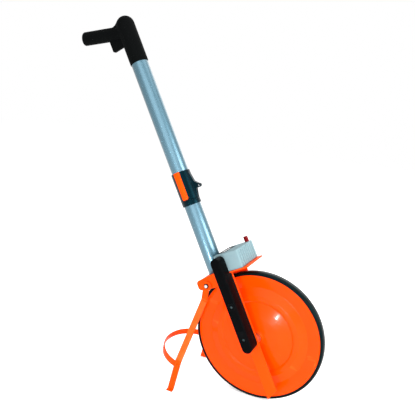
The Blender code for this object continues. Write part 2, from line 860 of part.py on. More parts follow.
def make_upper_collar():
    place = (-pole_setback, 0, 0)
    foot = split_rise + running_gap / 2
    seat = upper_collar_top - upper_seat_depth
    bore = brake_rod_radius + running_gap
    body = [(0, upper_collar_top), (collar_radius, upper_collar_top), (collar_radius, foot),
            (0, foot)]
    collar = add_turned("upper_collar", body, "black", fold_axis, place, no_turn,
                        steps=collar_steps, closed=False)
    flare = add_plate("upper_flare", flare_outline(), ear_half_width * 2, "black", fold_axis)
    inside = [
        (0, upper_collar_top + cut_overrun),
        (pole_radius + running_gap, upper_collar_top + cut_overrun),
        (pole_radius + running_gap, seat), (bore, seat), (bore, foot - cut_overrun),
        (0, foot - cut_overrun),
    ]
    half_facet = (0, 0, math.pi / collar_steps)
    pole_seat = add_turned("upper_pole_seat", inside, "black", fold_axis, place, half_facet,
                           steps=collar_steps, closed=False)
    slot_rear = knuckle.x - lug_reach
    slot_length = knuckle_radius * 3 - slot_rear + knuckle.x
    slot_top = knuckle.z + lug_radius + running_gap * 4
    slot = add_box("lug_slot", (slot_length, (lug_half_width + running_gap) * 2,
                                slot_top - split_rise + cut_overrun), "black", fold_axis,
                   (slot_rear + slot_length / 2, 0, (slot_top + split_rise - cut_overrun) / 2))
    pin_hole = add_cylinder("ear_pin_hole", hinge_pin_radius + running_gap, ear_half_width * 4,
                            "black", fold_axis, knuckle, facets=16)
    cavity_back = collar_radius - button_thick - latch_pocket_depth
    cavity_front = collar_radius + cut_overrun
    cavity = add_box("button_cavity", (button_width + running_gap * 2, cavity_front - cavity_back,
                                       upper_collar_length), "black", fold_axis,
                     (-pole_setback, -(cavity_front + cavity_back) / 2,
                      button_foot - running_gap + upper_collar_length / 2))
    way_front = collar_radius - tongue_inset + running_gap * 2
    way_back = cavity_back + pole_wall
    tongue_way = add_box("tongue_way", (tongue_width + running_gap * 2, way_front - way_back,
                                        button_foot_gap * 4), "black", fold_axis,
                         (-pole_setback, -(way_front + way_back) / 2, split_rise))
    button_pin_hole = add_cylinder("button_pin_hole", button_pin_radius + running_gap,
                                   button_width + pole_wall * 2, "black", fold_axis,
                                   (-pole_setback, -button_pin_across, button_pin_rise), forward,
                                   12)
    unite(collar, flare)
    cut(collar, pole_seat, slot, pin_hole, cavity, tongue_way, button_pin_hole)
    add_cylinder("hinge_pin", hinge_pin_radius, ear_half_width * 2, "steel", pole_frame, knuckle,
                 facets=16)


def make_latch():
    """The button rocks about a pin near its top, and its tongue drops into the lower collar."""
    axis_place = Vector((-pole_setback, -button_pin_across, button_pin_rise))
    latch_axis = new_empty("latch_axis", fold_axis, axis_place - knuckle)
    frame_places[latch_axis] = axis_place
    face = collar_radius + button_proud
    top = upper_collar_top
    half = button_width / 2
    shell = [
        (face, top), (face, button_foot), (face - button_thick, button_foot),
        (face - button_thick, button_foot + button_thin_rise - button_thick / 2),
        (face - button_thin, button_foot + button_thin_rise), (face - button_thin, top),
    ]
    button = add_turned("latch_button", shell, "orange", latch_axis, (-pole_setback, 0, 0),
                        no_turn, steps=64)
    keep_depth = collar_radius
    keep = add_box("button_keep", (button_width, keep_depth, upper_collar_length * 2), "orange",
                   latch_axis, (-pole_setback, -face - keep_depth / 2 + button_thick
                                + button_proud * 4, split_rise))
    tongue_middle = collar_radius - tongue_inset - tongue_thickness / 2
    tongue = add_box("button_tongue", (tongue_width, tongue_thickness, tongue_length * 2),
                     "orange", latch_axis, (-pole_setback, -tongue_middle, button_foot))
    pin_hole = add_cylinder("button_bore", button_pin_radius + running_gap, button_width * 2,
                            "orange", latch_axis, axis_place, forward, 12)
    spring_rise = button_foot + latch_spring_rise
    spring_hole = add_cylinder("spring_pocket", latch_spring_radius * 1.5, latch_spring_length * 2,
                               "orange", latch_axis,
                               (-pole_setback, -(face - button_thick), spring_rise), across, 16)
    boolean(button, "INTERSECT", (keep,))
    unite(button, tongue)
    cut(button, pin_hole, spring_hole)
    add_cylinder("latch_pin", button_pin_radius, button_width + pole_wall * 2 - running_gap * 2,
                 "steel", fold_axis, axis_place, forward, 12)
    spring_back = -(collar_radius - button_thick - latch_pocket_depth) - running_gap
    spring_seat = (-pole_setback, spring_back - latch_spring_wire, spring_rise)
    add_wire("latch_spring", coil(latch_spring_radius, latch_spring_length, 4, 8), latch_spring_wire,
             "steel", fold_axis, spring_seat, upright)


# The handle, in two half shells

def dome_profile(radius, foot):
    top = arc((0, handle_dome_rise), radius, 90, 0, 6)
    return [(max(x, 0.0) if i else 0.0, z) for i, (x, z) in enumerate(top)] + [
        (radius, foot), (0, foot)]


def grip_profile(radius, length, corner):
    end = arc((radius - corner, length - corner), corner, 90, 0, 3)
    return [(0, length)] + end + [(radius, 0), (0, 0)]


def add_grip(name, radius, length, corner):
    turn = (0, -math.pi / 2 + grip_tilt, 0)
    made = add_turned(name, grip_profile(radius, length, corner), "black", fold_axis,
                      (-pole_setback, 0, grip_axis_rise), turn, steps=24, closed=False)
    made.scale = (1, grip_flatten_share, 1)
    return made


def grip_point(share):
    """A place on the grip's centre line, as a share of its length."""
    reach = grip_length * share
    return Vector((-pole_setback - reach * math.cos(grip_tilt), 0,
                   grip_axis_rise + reach * math.sin(grip_tilt)))


def make_half_shell(name, side, screw_places):
    shell = add_turned("handle_shell_" + name, dome_profile(handle_radius, handle_foot), "black",
                       fold_axis, (-pole_setback, 0, 0), no_turn, steps=handle_steps,
                       closed=False)
    grip = add_grip("grip_form_" + name, grip_height / 2, grip_length, grip_corner)
    inner = pole_radius + running_gap
    half_facet = (0, 0, math.pi / handle_steps)
    core = add_turned("sleeve_hollow_" + name, dome_profile(inner, handle_foot - cut_overrun),
                      "black", fold_axis, (-pole_setback, 0, 0), half_facet, steps=handle_steps,
                      closed=False)
    hollow = add_grip("grip_hollow_" + name, grip_height / 2 - handle_wall,
                      grip_length - handle_wall, grip_corner / 2)
    slot_front = -pole_setback - trigger_front / 2
    slot_rear = -pole_setback - trigger_rear - running_gap * 4
    slot_top = trigger_head + handle_wall * 2
    slot_foot = trigger_foot - running_gap * 2
    slot = add_box("trigger_slot_" + name, (slot_front - slot_rear,
                                            (trigger_half_width + running_gap) * 2,
                                            slot_top - slot_foot), "black", fold_axis,
                   ((slot_front + slot_rear) / 2, 0, (slot_top + slot_foot) / 2))
    seat_reach = math.sqrt(inner ** 2 - trigger_pivot_setback ** 2) + pin_seat_depth
    pin_seat = add_cylinder("trigger_pin_seat_" + name, trigger_pin_radius + running_gap,
                            seat_reach * 2, "black", fold_axis, trigger_pivot, facets=16)
    unite(shell, grip)
    cut(shell, core, hollow, slot, pin_seat)
    bosses = []
    holes = []
    boss_reach = (handle_radius + inner * 2) / 3
    for number, spot in enumerate(screw_places):
        reach = boss_reach if number else grip_height / 2 * grip_flatten_share - handle_wall / 2
        boss = add_cylinder(f"handle_boss_{name}_{number}", handle_boss_radius, reach, "black",
                            fold_axis, spot + Vector((0, side * reach / 2, 0)), facets=16)
        depth = reach - handle_wall if side < 0 else reach + handle_wall
        hole = add_cylinder(f"handle_hole_{name}_{number}", screw_shank_radius + running_gap,
                            depth * 2, "black", fold_axis, spot, facets=12)
        bosses.append(boss)
        holes.append(hole)
    unite(shell, *bosses)
    cut(shell, *holes)
    half = add_box("handle_half_" + name, (grip_length * 3, handle_radius * 2, grip_length * 3),
                   "black", fold_axis, (-pole_setback, side * (handle_radius + handle_split / 2),
                                        grip_axis_rise))
    boolean(shell, "INTERSECT", (half,))
    return shell


def make_handle():
    screw_places = (grip_point(handle_screw_reach_share),
                    Vector((-pole_setback, 0, handle_dome_rise)))
    for name, side in sides:
        shell = make_half_shell(name, side, screw_places)
        if side > 0:
            make_handle_screws(shell, screw_places)


def make_handle_screws(shell, screw_places):
    """The screws enter from the far side, where their heads are sunk in the shell."""
    for number, spot in enumerate(screw_places):
        skin = handle_radius if number else grip_height / 2 * grip_flatten_share
        seat = skin - screw_head_height
        length = seat + seat / 2
        head_hole = add_cylinder(f"handle_head_hole_{number}", screw_head_radius + running_gap,
                                 screw_head_height * 4, "black", fold_axis,
                                 spot + Vector((0, seat + screw_head_height * 2, 0)), facets=16)
        cut(shell, head_hole)
        screw = [
            (0, seat + running_gap + screw_head_height),
            (screw_head_radius, seat + running_gap + screw_head_height),
            (screw_head_radius, seat + running_gap), (screw_shank_radius, seat + running_gap),
            (screw_shank_radius, seat - length), (0, seat - length),
        ]
        add_turned(f"handle_screw_{number + 1}", screw, "steel", fold_axis, spot, steps=12,
                   closed=False)


def make_trigger():
    """The finger lever under the grip: it swings up into the grip and pushes the rod down."""
    rear = -pole_setback - trigger_rear
    front = -pole_setback - trigger_front
    x, z = trigger_pivot.x, trigger_pivot.z
    nose = (-pole_setback, z - trigger_nose_drop)
    outline = [
        *arc((rear + trigger_corner, trigger_foot + trigger_corner), trigger_corner, 180, 270, 4),
        (front, trigger_foot), (x - trigger_hub_radius, z - trigger_hub_radius),
        *arc(nose, trigger_nose_radius, -90, 70, 6),
        *arc((x, z), trigger_hub_radius, 60, 110, 3), (front, trigger_head), (rear, trigger_head),
    ]
    trigger = add_plate("brake_trigger", outline, trigger_half_width * 2, "black", trigger_axis)
    soften(trigger, trigger_corner / 4, 1)
    pin_hole = add_cylinder("trigger_bore", trigger_pin_radius + running_gap,
                            trigger_half_width * 4, "black", trigger_axis, trigger_pivot, facets=16)
    cut(trigger, pin_hole)
    inner = pole_radius + running_gap
    pin_reach = math.sqrt(inner ** 2 - trigger_pivot_setback ** 2) + pin_seat_depth - running_gap
    add_cylinder("trigger_pin", trigger_pin_radius, pin_reach * 2, "steel", fold_axis,
                 trigger_pivot, facets=16)
    spring_radius = trigger_pin_radius + trigger_spring_wire + running_gap
    spring_start = trigger_half_width + running_gap * 2 + trigger_spring_wire
    add_wire("trigger_spring", coil(spring_radius, trigger_spring_length, 3), trigger_spring_wire,
             "steel", fold_axis, trigger_pivot + Vector((0, spring_start, 0)), across)


def make_brake():
    place = (-pole_setback, 0, 0)
    split_gap = running_gap * 1.5
    rod_top = trigger_pivot_rise - trigger_nose_drop - trigger_nose_radius - running_gap
    rod_split = split_rise + split_gap
    add_cylinder("brake_rod_upper", brake_rod_radius, rod_top - rod_split, "steel", fold_axis,
                 (place[0], 0, (rod_top + rod_split) / 2), no_turn, 16)
    lower_top = split_rise - split_gap
    rod_foot = brake_pad_top + running_gap
    add_cylinder("brake_rod_lower", brake_rod_radius, lower_top - rod_foot, "steel", pole_frame,
                 (place[0], 0, (lower_top + rod_foot) / 2), no_turn, 16)
    reach = wheel_radius + brake_tyre_gap
    front = -pole_setback + brake_pad_half_length
    rear = -pole_setback - brake_pad_half_length
    front_angle = math.degrees(math.acos(front / reach))
    rear_angle = math.degrees(math.acos(rear / reach))
    outline = arc((0, 0), reach, front_angle, rear_angle, 4) + [
        (rear, brake_pad_top), (front, brake_pad_top)]
    add_plate("brake_pad", outline, brake_pad_half_width * 2, "rubber", pole_frame)


# The stand, built in its own frame: X down the leg's width, Z up the leg to the pivot

def strip(name, route, width, thickness, finish, parent):
    """A flat bar bent along a route of (shift, across, up) points, its width along X."""
    mesh = bpy.data.meshes.new(name)
    rear_edge = [(x - width / 2, y, z) for x, y, z in route]
    points = rear_edge + [(x + width / 2, y, z) for x, y, z in route]
    count = len(route)
    faces = [(i, i + 1, i + 1 + count, i + count) for i in range(count - 1)]
    mesh.from_pydata(points, [], faces)
    made = add_mesh(name, mesh, finish, parent)
    shell = made.modifiers.new("thickness", "SOLIDIFY")
    shell.thickness = thickness
    shell.offset = 0
    shell.use_even_offset = True
    return made


def make_leg(name, side):
    top_face = fork_outer + running_gap + sheet_thickness / 2
    spread = leg_spread + sheet_thickness / 2
    route = [
        (0, side * top_face, 0), (leg_knee_shift, side * top_face, -leg_straight),
        (0, side * spread, -leg_bend_at), (0, side * spread, -foot_drop() - leg_width),
    ]
    leg = strip("stand_leg_" + name, route, leg_width, sheet_thickness, "orange", stand_frame)
    eye = add_cylinder("leg_eye_" + name, leg_eye_radius, sheet_thickness, "orange", stand_frame,
                       (0, side * top_face, 0), across, 24)
    hole = add_cylinder("leg_eye_hole_" + name, stand_bolt_radius + running_gap,
                        sheet_thickness * 2, "orange", stand_frame, (0, side * top_face, 0),
                        across, 20)
    rivet_hole = add_cylinder("leg_rivet_hole_" + name, rivet_radius + running_gap,
                              sheet_thickness * 2, "orange", stand_frame,
                              (0, side * spread, -hoop_at), across, 14)
    foot_tilt = leg_turn - lean_angle
    level = (0, -foot_tilt, 0)
    foot = add_box("leg_foot_" + name, (leg_width, foot_length + sheet_thickness,
                                        sheet_thickness), "orange", stand_frame,
                   (0, side * (leg_spread + (foot_length + sheet_thickness) / 2),
                    -foot_drop() + sheet_thickness / 2 / math.cos(foot_tilt)), level)
    below = Matrix.Rotation(-foot_tilt, 4, "Y") @ Vector((0, 0, -leg_width * 2))
    ground_cut = add_box("ground_cut_" + name, (leg_width * 6, leg_width * 3, leg_width * 4),
                         "orange", stand_frame,
                         Vector((0, side * leg_spread, -foot_drop())) + below, level)
    unite(leg, eye, foot)
    cut(leg, hole, rivet_hole, ground_cut)


def foot_drop():
    """How far down the leg's own line the ground lies."""
    pivot_height = (wheel_radius + math.cos(lean_angle) * stand_pivot.z
                    + math.sin(lean_angle) * stand_pivot.x)
    world_angle = stand_angle + lean_angle
    return pivot_height / -math.sin(world_angle)


def make_hoop():
    half = leg_spread - running_gap - hoop_thickness / 2
    route = []
    for i in range(hoop_steps + 1):
        angle = math.pi * i / hoop_steps
        route.append((0, -half * math.cos(angle), hoop_height * math.sin(angle)))
    hoop = strip("stand_hoop", route, hoop_width, hoop_thickness, "orange", stand_frame)
    hoop.location = (0, 0, -hoop_at)
    hoop.rotation_euler = (0, -math.pi / 2, 0)
    for name, side in sides:
        hole = add_cylinder("hoop_rivet_hole_" + name, rivet_radius + running_gap,
                            hoop_thickness * 6, "orange", stand_frame,
                            (0, side * half, -hoop_at), across, 14)
        cut(hoop, hole)
        inner = leg_spread - running_gap * 2 - hoop_thickness
        outer = leg_spread + sheet_thickness + running_gap
        rivet = [
            (0, outer + rivet_head_height), (rivet_head_radius / 2, outer + rivet_head_height),
            (rivet_head_radius, outer), (rivet_radius, outer), (rivet_radius, inner),
            (rivet_head_radius, inner), (rivet_head_radius / 2, inner - rivet_head_height),
            (0, inner - rivet_head_height),
        ]
        turn = across if side > 0 else upright
        add_turned("hoop_rivet_" + name, rivet, "orange", stand_frame, (0, 0, -hoop_at), turn,
                   steps=14, closed=False)


def make_stand_pivot():
    leg_face = fork_outer + running_gap + sheet_thickness
    washer_near = leg_face + running_gap
    washer_end = washer_near + stand_washer_height
    bore = stand_bolt_radius + running_gap
    for name, side in sides:
        ring = ring_profile(stand_washer_radius, bore, washer_end, washer_near)
        turn = across if side > 0 else upright
        add_turned("stand_washer_" + name, ring, "black", stand_axis, stand_pivot, turn, steps=16)
    head_seat = washer_end + running_gap
    head_top = head_seat + stand_bolt_head_height
    bolt_end = head_seat + stand_nut_height + axle_thread_length
    bolt = [
        (0, head_top), (stand_bolt_head_radius * 0.8, head_top),
        (stand_bolt_head_radius, head_top - stand_bolt_head_height / 3),
        (stand_bolt_head_radius, head_seat), (stand_bolt_radius, head_seat),
        (stand_bolt_radius, -bolt_end), (0, -bolt_end),
    ]
    add_turned("stand_bolt", bolt, "steel", pole_frame, stand_pivot, upright, steps=18,
               closed=False)
    nut_place = stand_pivot + Vector((0, head_seat + stand_nut_height / 2, 0))
    nut = add_cylinder("stand_nut", stand_nut_across / math.sqrt(3), stand_nut_height, "steel",
                       pole_frame, nut_place, facets=6)
    hole = add_cylinder("stand_nut_hole", bore, stand_nut_height * 2, "steel", pole_frame,
                        nut_place, facets=18)
    cut(nut, hole)


def centre_on_ground():
    """Move the whole model so that its footprint is centred on the origin."""
    bpy.context.view_layer.update()
    graph = bpy.context.evaluated_depsgraph_get()
    ends = []
    for made in parts.objects:
        if made.type == "MESH":
            shape = made.evaluated_get(graph)
            ends += [(shape.matrix_world @ vertex.co).x for vertex in shape.data.vertices]
    ground.location.x = -(min(ends) + max(ends)) / 2


make_wheel()
make_axle()
make_fork()
make_socket()
make_housing()
make_belt()
make_case()
make_drums()
make_knob()
make_pole()
make_lower_collar()
make_upper_collar()
make_latch()
make_handle()
make_trigger()
make_brake()
for leg_name, leg_side in sides:
    make_leg(leg_name, leg_side)
make_hoop()
make_stand_pivot()
centre_on_ground()
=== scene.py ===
# %% [markdown]
# A measuring wheel. The construction comes ready made, as a frame of plain solids that are the
# right size and move on the right joints. This script gives each solid its finish: a smoother or
# more detailed mesh where one shows, and a material built from nodes everywhere.

# %% Load the frame
import json
import math

import bmesh
import bpy
from mathutils import Matrix, Vector


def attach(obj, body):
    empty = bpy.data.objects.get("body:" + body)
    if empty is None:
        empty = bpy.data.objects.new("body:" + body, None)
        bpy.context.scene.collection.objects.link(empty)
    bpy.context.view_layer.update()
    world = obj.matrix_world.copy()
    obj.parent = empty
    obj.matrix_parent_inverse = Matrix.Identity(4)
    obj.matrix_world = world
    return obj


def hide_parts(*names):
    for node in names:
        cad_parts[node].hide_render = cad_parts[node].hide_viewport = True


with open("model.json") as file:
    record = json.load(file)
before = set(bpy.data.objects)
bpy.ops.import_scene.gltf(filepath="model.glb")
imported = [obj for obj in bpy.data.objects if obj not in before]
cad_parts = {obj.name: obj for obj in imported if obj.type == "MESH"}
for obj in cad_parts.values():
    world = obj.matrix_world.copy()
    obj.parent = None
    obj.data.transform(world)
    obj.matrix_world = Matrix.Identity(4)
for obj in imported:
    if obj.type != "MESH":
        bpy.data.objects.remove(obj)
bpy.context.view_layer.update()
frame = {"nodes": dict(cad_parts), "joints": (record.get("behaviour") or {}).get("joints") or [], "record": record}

# %% [markdown]
# Most of this object leans with its pole. Working in the pole's own frame keeps the sizes simple:
# X runs forward, Y runs across, Z runs up the pole, and the origin is the wheel's centre. The
# joints say where that frame is, so nothing has to be fitted by eye. The record also says which
# body and which material slot each node has.

# %% The pole's frame
joints = {joint["name"]: joint for joint in frame["joints"]}
down_pole = Vector(joints["reset_push"]["axis"])
lean = math.atan2(down_pole.x, -down_pole.z)
wheel_centre = Vector(joints["wheel_spin"]["pos_m"])
pole_frame = Matrix.Translation(wheel_centre) @ Matrix.Rotation(-lean, 4, "Y")
to_pole = pole_frame.inverted()
slot_of = {part["node"]: part["material_slot"] for part in frame["record"]["subparts"]}
bodies = frame["record"]["behaviour"]["bodies"]
body_of = {node: body for body, members in bodies.items() for node in members}
print("the pole leans by", round(math.degrees(lean), 2), "degrees")


def joint_spot(name):
    """Where a joint's axis passes, in the pole's frame."""
    return to_pole @ Vector(joints[name]["pos_m"])


def span(node):
    """A frame node's lowest and highest corners, in the pole's frame."""
    corners = [to_pole @ vertex.co for vertex in frame["nodes"][node].data.vertices]
    low = Vector([min(corner[i] for corner in corners) for i in range(3)])
    high = Vector([max(corner[i] for corner in corners) for i in range(3)])
    return low, high


# %% [markdown]
# The camera stands where the photographer stood: in front of the near side, a little ahead of the
# wheel and above it, and turned by a few degrees. It is made from an eye point, a point that it
# looks at and a roll, which are easier to read than a table of angles.

# %% The camera
eye = wheel_centre + Vector((0.3065, -1.0828, 0.5475))
looks_at = wheel_centre + Vector((-0.1657, 0.0, 0.2868))
camera_roll = math.radians(5.50)
sensor_width = 36.0
lens_length = 43.37
nearest_seen = 0.05


def add_object(name, data):
    made = bpy.data.objects.new(name, data)
    bpy.context.scene.collection.objects.link(made)
    return made


def make_camera():
    data = bpy.data.cameras.new("camera")
    data.sensor_width = sensor_width
    data.lens = lens_length
    data.clip_start = nearest_seen
    camera = add_object("camera", data)
    aim = (looks_at - eye).to_track_quat("-Z", "Y").to_matrix().to_4x4()
    camera.matrix_world = Matrix.Translation(eye) @ aim @ Matrix.Rotation(camera_roll, 4, "Z")
    bpy.context.scene.camera = camera


make_camera()
print("camera", tuple(round(c, 3) for c in eye))

# %% [markdown]
# The floor, the background and every finish are small graphs of nodes. Four helpers build them:
# one fills sockets, either from another socket or with a plain value, and the others add a node
# that is filled at once, an arithmetic node, and a material that is ready for more.

# %% Helpers for node graphs
def fill(tree, sockets, values):
    """Give sockets their values. A socket is joined, and a number or a colour is set."""
    for label, value in values.items():
        socket = sockets[label]
        if isinstance(value, bpy.types.NodeSocket):
            tree.links.new(value, socket)
        elif socket.type == "RGBA":
            socket.default_value = (*value, 1.0)
        else:
            socket.default_value = value


def add(tree, kind, values):
    node = tree.nodes.new("ShaderNode" + kind)
    fill(tree, node.inputs, values)
    return node


def arithmetic(tree, operation, first, second):
    node = add(tree, "Math", {0: first, 1: second})
    node.operation = operation
    return node.outputs[0]


def new_material(name, values):
    """A material whose shader starts with these values, with its node tree and its sockets."""
    made = bpy.data.materials.new(name)
    made.use_nodes = True
    shader = made.node_tree.nodes["Principled BSDF"].inputs
    fill(made.node_tree, shader, values)
    return made, made.node_tree, shader


print("graph helpers ready")

# %% [markdown]
# The light is that of a plain studio: a small lamp low in front of the wheel, which draws the
# crisp highlights on the pressed disc, and broad soft lamps that fill the rest. One of them stands
# to the side, where the round pole and the tyre's tread catch it as a long pale streak. The floor
# and the background are white to the camera, and to reflections. Far from the object the floor
# glows a little to those rays alone, so that it meets the background without a line.

# %% Floor, background and lamps
floor_half_width = 6.0
floor_glow = 0.42
floor_drop = 0.0004
floor_grey = (0.93, 0.93, 0.93)
world_strength = 0.62
white = (1.0, 1.0, 1.0)
lamps = {
    "glint": {"place": (0.23, -1.30, 0.09), "width": 0.07, "power": 7.0},
    "key": {"place": (0.4, -2.2, 1.5), "width": 2.4, "power": 32.0},
    "side": {"place": (1.9, -0.25, 1.0), "width": 1.0, "power": 38.0},
    "top": {"place": (0.3, 0.3, 2.4), "width": 1.8, "power": 18.0},
    "back": {"place": (0.2, 2.0, 1.3), "width": 1.6, "power": 12.0},
}


def white_to_eyes(tree):
    """1 where a camera, glossy or transmission ray looks, and 0 for light that falls on things."""
    path = add(tree, "LightPath", {}).outputs
    seen = arithmetic(tree, "MAXIMUM", path["Is Camera Ray"], path["Is Glossy Ray"])
    return arithmetic(tree, "MAXIMUM", seen, path["Is Transmission Ray"])


def make_world():
    world = bpy.data.worlds.new("studio")
    world.use_nodes = True
    tree = world.node_tree
    tree.nodes.clear()
    dim = add(tree, "Background", {"Color": white, "Strength": world_strength})
    page = add(tree, "Background", {"Color": white})
    mix = add(tree, "MixShader", {
        "Fac": white_to_eyes(tree), 1: dim.outputs[0], 2: page.outputs[0]})
    add(tree, "OutputWorld", {"Surface": mix.outputs[0]})
    bpy.context.scene.world = world


def make_floor():
    mesh = bpy.data.meshes.new("floor")
    shape = bmesh.new()
    bmesh.ops.create_grid(shape, x_segments=1, y_segments=1, size=floor_half_width)
    shape.to_mesh(mesh)
    shape.free()
    floor = add_object("floor", mesh)
    floor.location = (0, 0, -floor_drop)
    made, tree, shader = new_material("pale_floor", {
        "Base Color": floor_grey, "Roughness": 0.9, "Specular IOR Level": 0.0,
        "Emission Color": white})
    glow = arithmetic(tree, "MULTIPLY", white_to_eyes(tree), floor_glow)
    fill(tree, shader, {"Emission Strength": glow})
    mesh.materials.append(made)


def make_lamps():
    for name, lamp in lamps.items():
        data = bpy.data.lights.new(name, "AREA")
        data.size = lamp["width"]
        data.energy = lamp["power"]
        made = add_object(name, data)
        made.location = lamp["place"]
        made.visible_camera = False
        made.rotation_euler = (looks_at - made.location).to_track_quat("-Z", "Y").to_euler()


make_world()
make_floor()
make_lamps()
bpy.context.scene.view_settings.view_transform = "Standard"
print("lamps", ", ".join(lamps))

# %% [markdown]
# Real surfaces are never one flat value. Four small node groups carry what several finishes
# share: the pebbled grain of moulded plastic, the orange-peel skin of sprayed paint, the fine
# lines of drawn metal, and the paler, rubbed look of edges. A group has named inputs, so each
# material can place it with its own values.

# %% Helpers for shader groups
def new_group(name, inputs, outputs):
    """Start a group. An input is a kind of socket or, for a plain number, its usual value."""
    tree = bpy.data.node_groups.new(name, "ShaderNodeTree")
    for label, value in inputs.items():
        kind = value if isinstance(value, str) else "Float"
        socket = tree.interface.new_socket(
            label, in_out="INPUT", socket_type="NodeSocket" + kind)
        if kind == "Float":
            socket.default_value = value
    for label, kind in outputs.items():
        tree.interface.new_socket(label, in_out="OUTPUT", socket_type="NodeSocket" + kind)
    given = tree.nodes.new("NodeGroupInput").outputs
    result = tree.nodes.new("NodeGroupOutput").inputs
    return tree, given, result


def noise(tree, vector, scale, detail):
    values = {"Vector": vector, "Scale": scale, "Detail": detail}
    return add(tree, "TexNoise", values).outputs["Fac"]


def bump(tree, height, strength, distance):
    values = {"Height": height, "Strength": strength, "Distance": distance}
    return add(tree, "Bump", values).outputs["Normal"]


def stretch_to(tree, value, low, high):
    """Stretch a 0 to 1 value between two others."""
    values = {"Value": value, "To Min": low, "To Max": high}
    return add(tree, "MapRange", values).outputs["Result"]


def pick_from(tree, value, low, high):
    """The reverse: what lies between two values becomes 0 to 1."""
    values = {"Value": value, "From Min": low, "From Max": high}
    return add(tree, "MapRange", values).outputs["Result"]


def mix_colour(tree, share, first, second):
    node = tree.nodes.new("ShaderNodeMix")
    node.data_type = "RGBA"
    colours = {socket.name: socket for socket in node.inputs if socket.type == "RGBA"}
    fill(tree, node.inputs, {"Factor": share})
    fill(tree, colours, {"A": first, "B": second})
    return [socket for socket in node.outputs if socket.type == "RGBA"][0]


print("group helpers ready")

# %% [markdown]
# The groups themselves. Each one hands out colours, masks, roughness values and normals, and
# leaves the shader to the material that places it.

# %% The four shared effects
def make_grain_group():
    """Moulded plastic: a pebbled skin with patches that shine a little more."""
    tree, given, result = new_group(
        "moulded_grain",
        {"Vector": "Vector", "Grain Scale": 900.0, "Grain Depth": 0.1, "Smooth": 0.3,
         "Rough": 0.5},
        {"Roughness": "Float", "Normal": "Vector", "Patches": "Float"})
    grain = noise(tree, given["Vector"], given["Grain Scale"], 2.0)
    patches = noise(tree, given["Vector"], 26.0, 4.0)
    fill(tree, result, {
        "Roughness": stretch_to(tree, patches, given["Smooth"], given["Rough"]),
        "Normal": bump(tree, grain, given["Grain Depth"], 0.0004),
        "Patches": patches})
    return tree


def make_paint_group():
    """Sprayed paint: a faint orange peel, drifts of deeper colour and specks of dust."""
    tree, given, result = new_group(
        "sprayed_paint",
        {"Vector": "Vector", "Colour": "Color", "Deeper": "Color", "Peel Scale": 260.0,
         "Peel Depth": 0.05, "Gloss": 0.2},
        {"Colour": "Color", "Roughness": "Float", "Normal": "Vector"})
    drift = noise(tree, given["Vector"], 7.0, 3.0)
    peel = noise(tree, given["Vector"], given["Peel Scale"], 1.0)
    specks = pick_from(tree, noise(tree, given["Vector"], 1400.0, 1.0), 0.74, 0.80)
    duller = arithmetic(tree, "MULTIPLY", specks, 0.25)
    base = arithmetic(tree, "ADD", given["Gloss"], stretch_to(tree, drift, -0.03, 0.05))
    fill(tree, result, {
        "Colour": mix_colour(tree, drift, given["Colour"], given["Deeper"]),
        "Roughness": arithmetic(tree, "ADD", base, duller),
        "Normal": bump(tree, peel, given["Peel Depth"], 0.0006)})
    return tree


def make_drawn_group():
    """Drawn or brushed metal: long fine lines, made by squeezing noise along one axis."""
    tree, given, result = new_group(
        "drawn_metal",
        {"Vector": "Vector", "Stretch": "Vector", "Colour": "Color", "Deeper": "Color",
         "Smooth": 0.25, "Rough": 0.4, "Line Depth": 0.05},
        {"Colour": "Color", "Roughness": "Float", "Normal": "Vector"})
    squeeze = add(tree, "VectorMath", {0: given["Vector"], 1: given["Stretch"]})
    squeeze.operation = "MULTIPLY"
    lines = noise(tree, squeeze.outputs[0], 1.0, 4.0)
    cloud = noise(tree, given["Vector"], 14.0, 2.0)
    both = arithmetic(tree, "MULTIPLY", lines, cloud)
    fill(tree, result, {
        "Colour": mix_colour(tree, both, given["Colour"], given["Deeper"]),
        "Roughness": stretch_to(tree, lines, given["Smooth"], given["Rough"]),
        "Normal": bump(tree, lines, given["Line Depth"], 0.0002)})
    return tree


def make_edge_group():
    """Rubbed edges: where the surface turns sharply, and only in patches, the colour is paler."""
    tree, given, result = new_group(
        "rubbed_edges",
        {"Vector": "Vector", "Colour": "Color", "Rubbed": "Color", "Amount": 0.3},
        {"Colour": "Color", "Mask": "Float"})
    pointed = tree.nodes.new("ShaderNodeNewGeometry").outputs["Pointiness"]
    patches = noise(tree, given["Vector"], 60.0, 5.0)
    patchy = arithmetic(tree, "MULTIPLY", pick_from(tree, pointed, 0.53, 0.62), patches)
    mask = arithmetic(tree, "MULTIPLY", patchy, given["Amount"])
    fill(tree, result, {
        "Colour": mix_colour(tree, mask, given["Colour"], given["Rubbed"]), "Mask": mask})
    return tree


grain_group = make_grain_group()
paint_group = make_paint_group()
drawn_group = make_drawn_group()
edge_group = make_edge_group()
print("shared effects", len(bpy.data.node_groups))

# %% [markdown]
# A material places the shared effects and joins them to its own shader. Values that don't change
# over the surface, such as a coat, are set straight on the shader.

# %% Material makers
no_tint = (1.0, 1.0, 1.0)


def own_place(tree):
    return tree.nodes.new("ShaderNodeTexCoord").outputs["Object"]


def place_group(tree, group, values):
    node = tree.nodes.new("ShaderNodeGroup")
    node.node_tree = group
    fill(tree, node.inputs, values)
    return node.outputs


def wear(tree, shader, where, colour, edges, skin):
    """Rub the edges of a colour, and join the whole skin to the shader."""
    rubbed, amount = edges
    worn = place_group(tree, edge_group, {
        "Vector": where, "Colour": colour, "Rubbed": rubbed, "Amount": amount})
    fill(tree, shader, {
        "Base Color": worn["Colour"], "Roughness": skin["Roughness"], "Normal": skin["Normal"]})


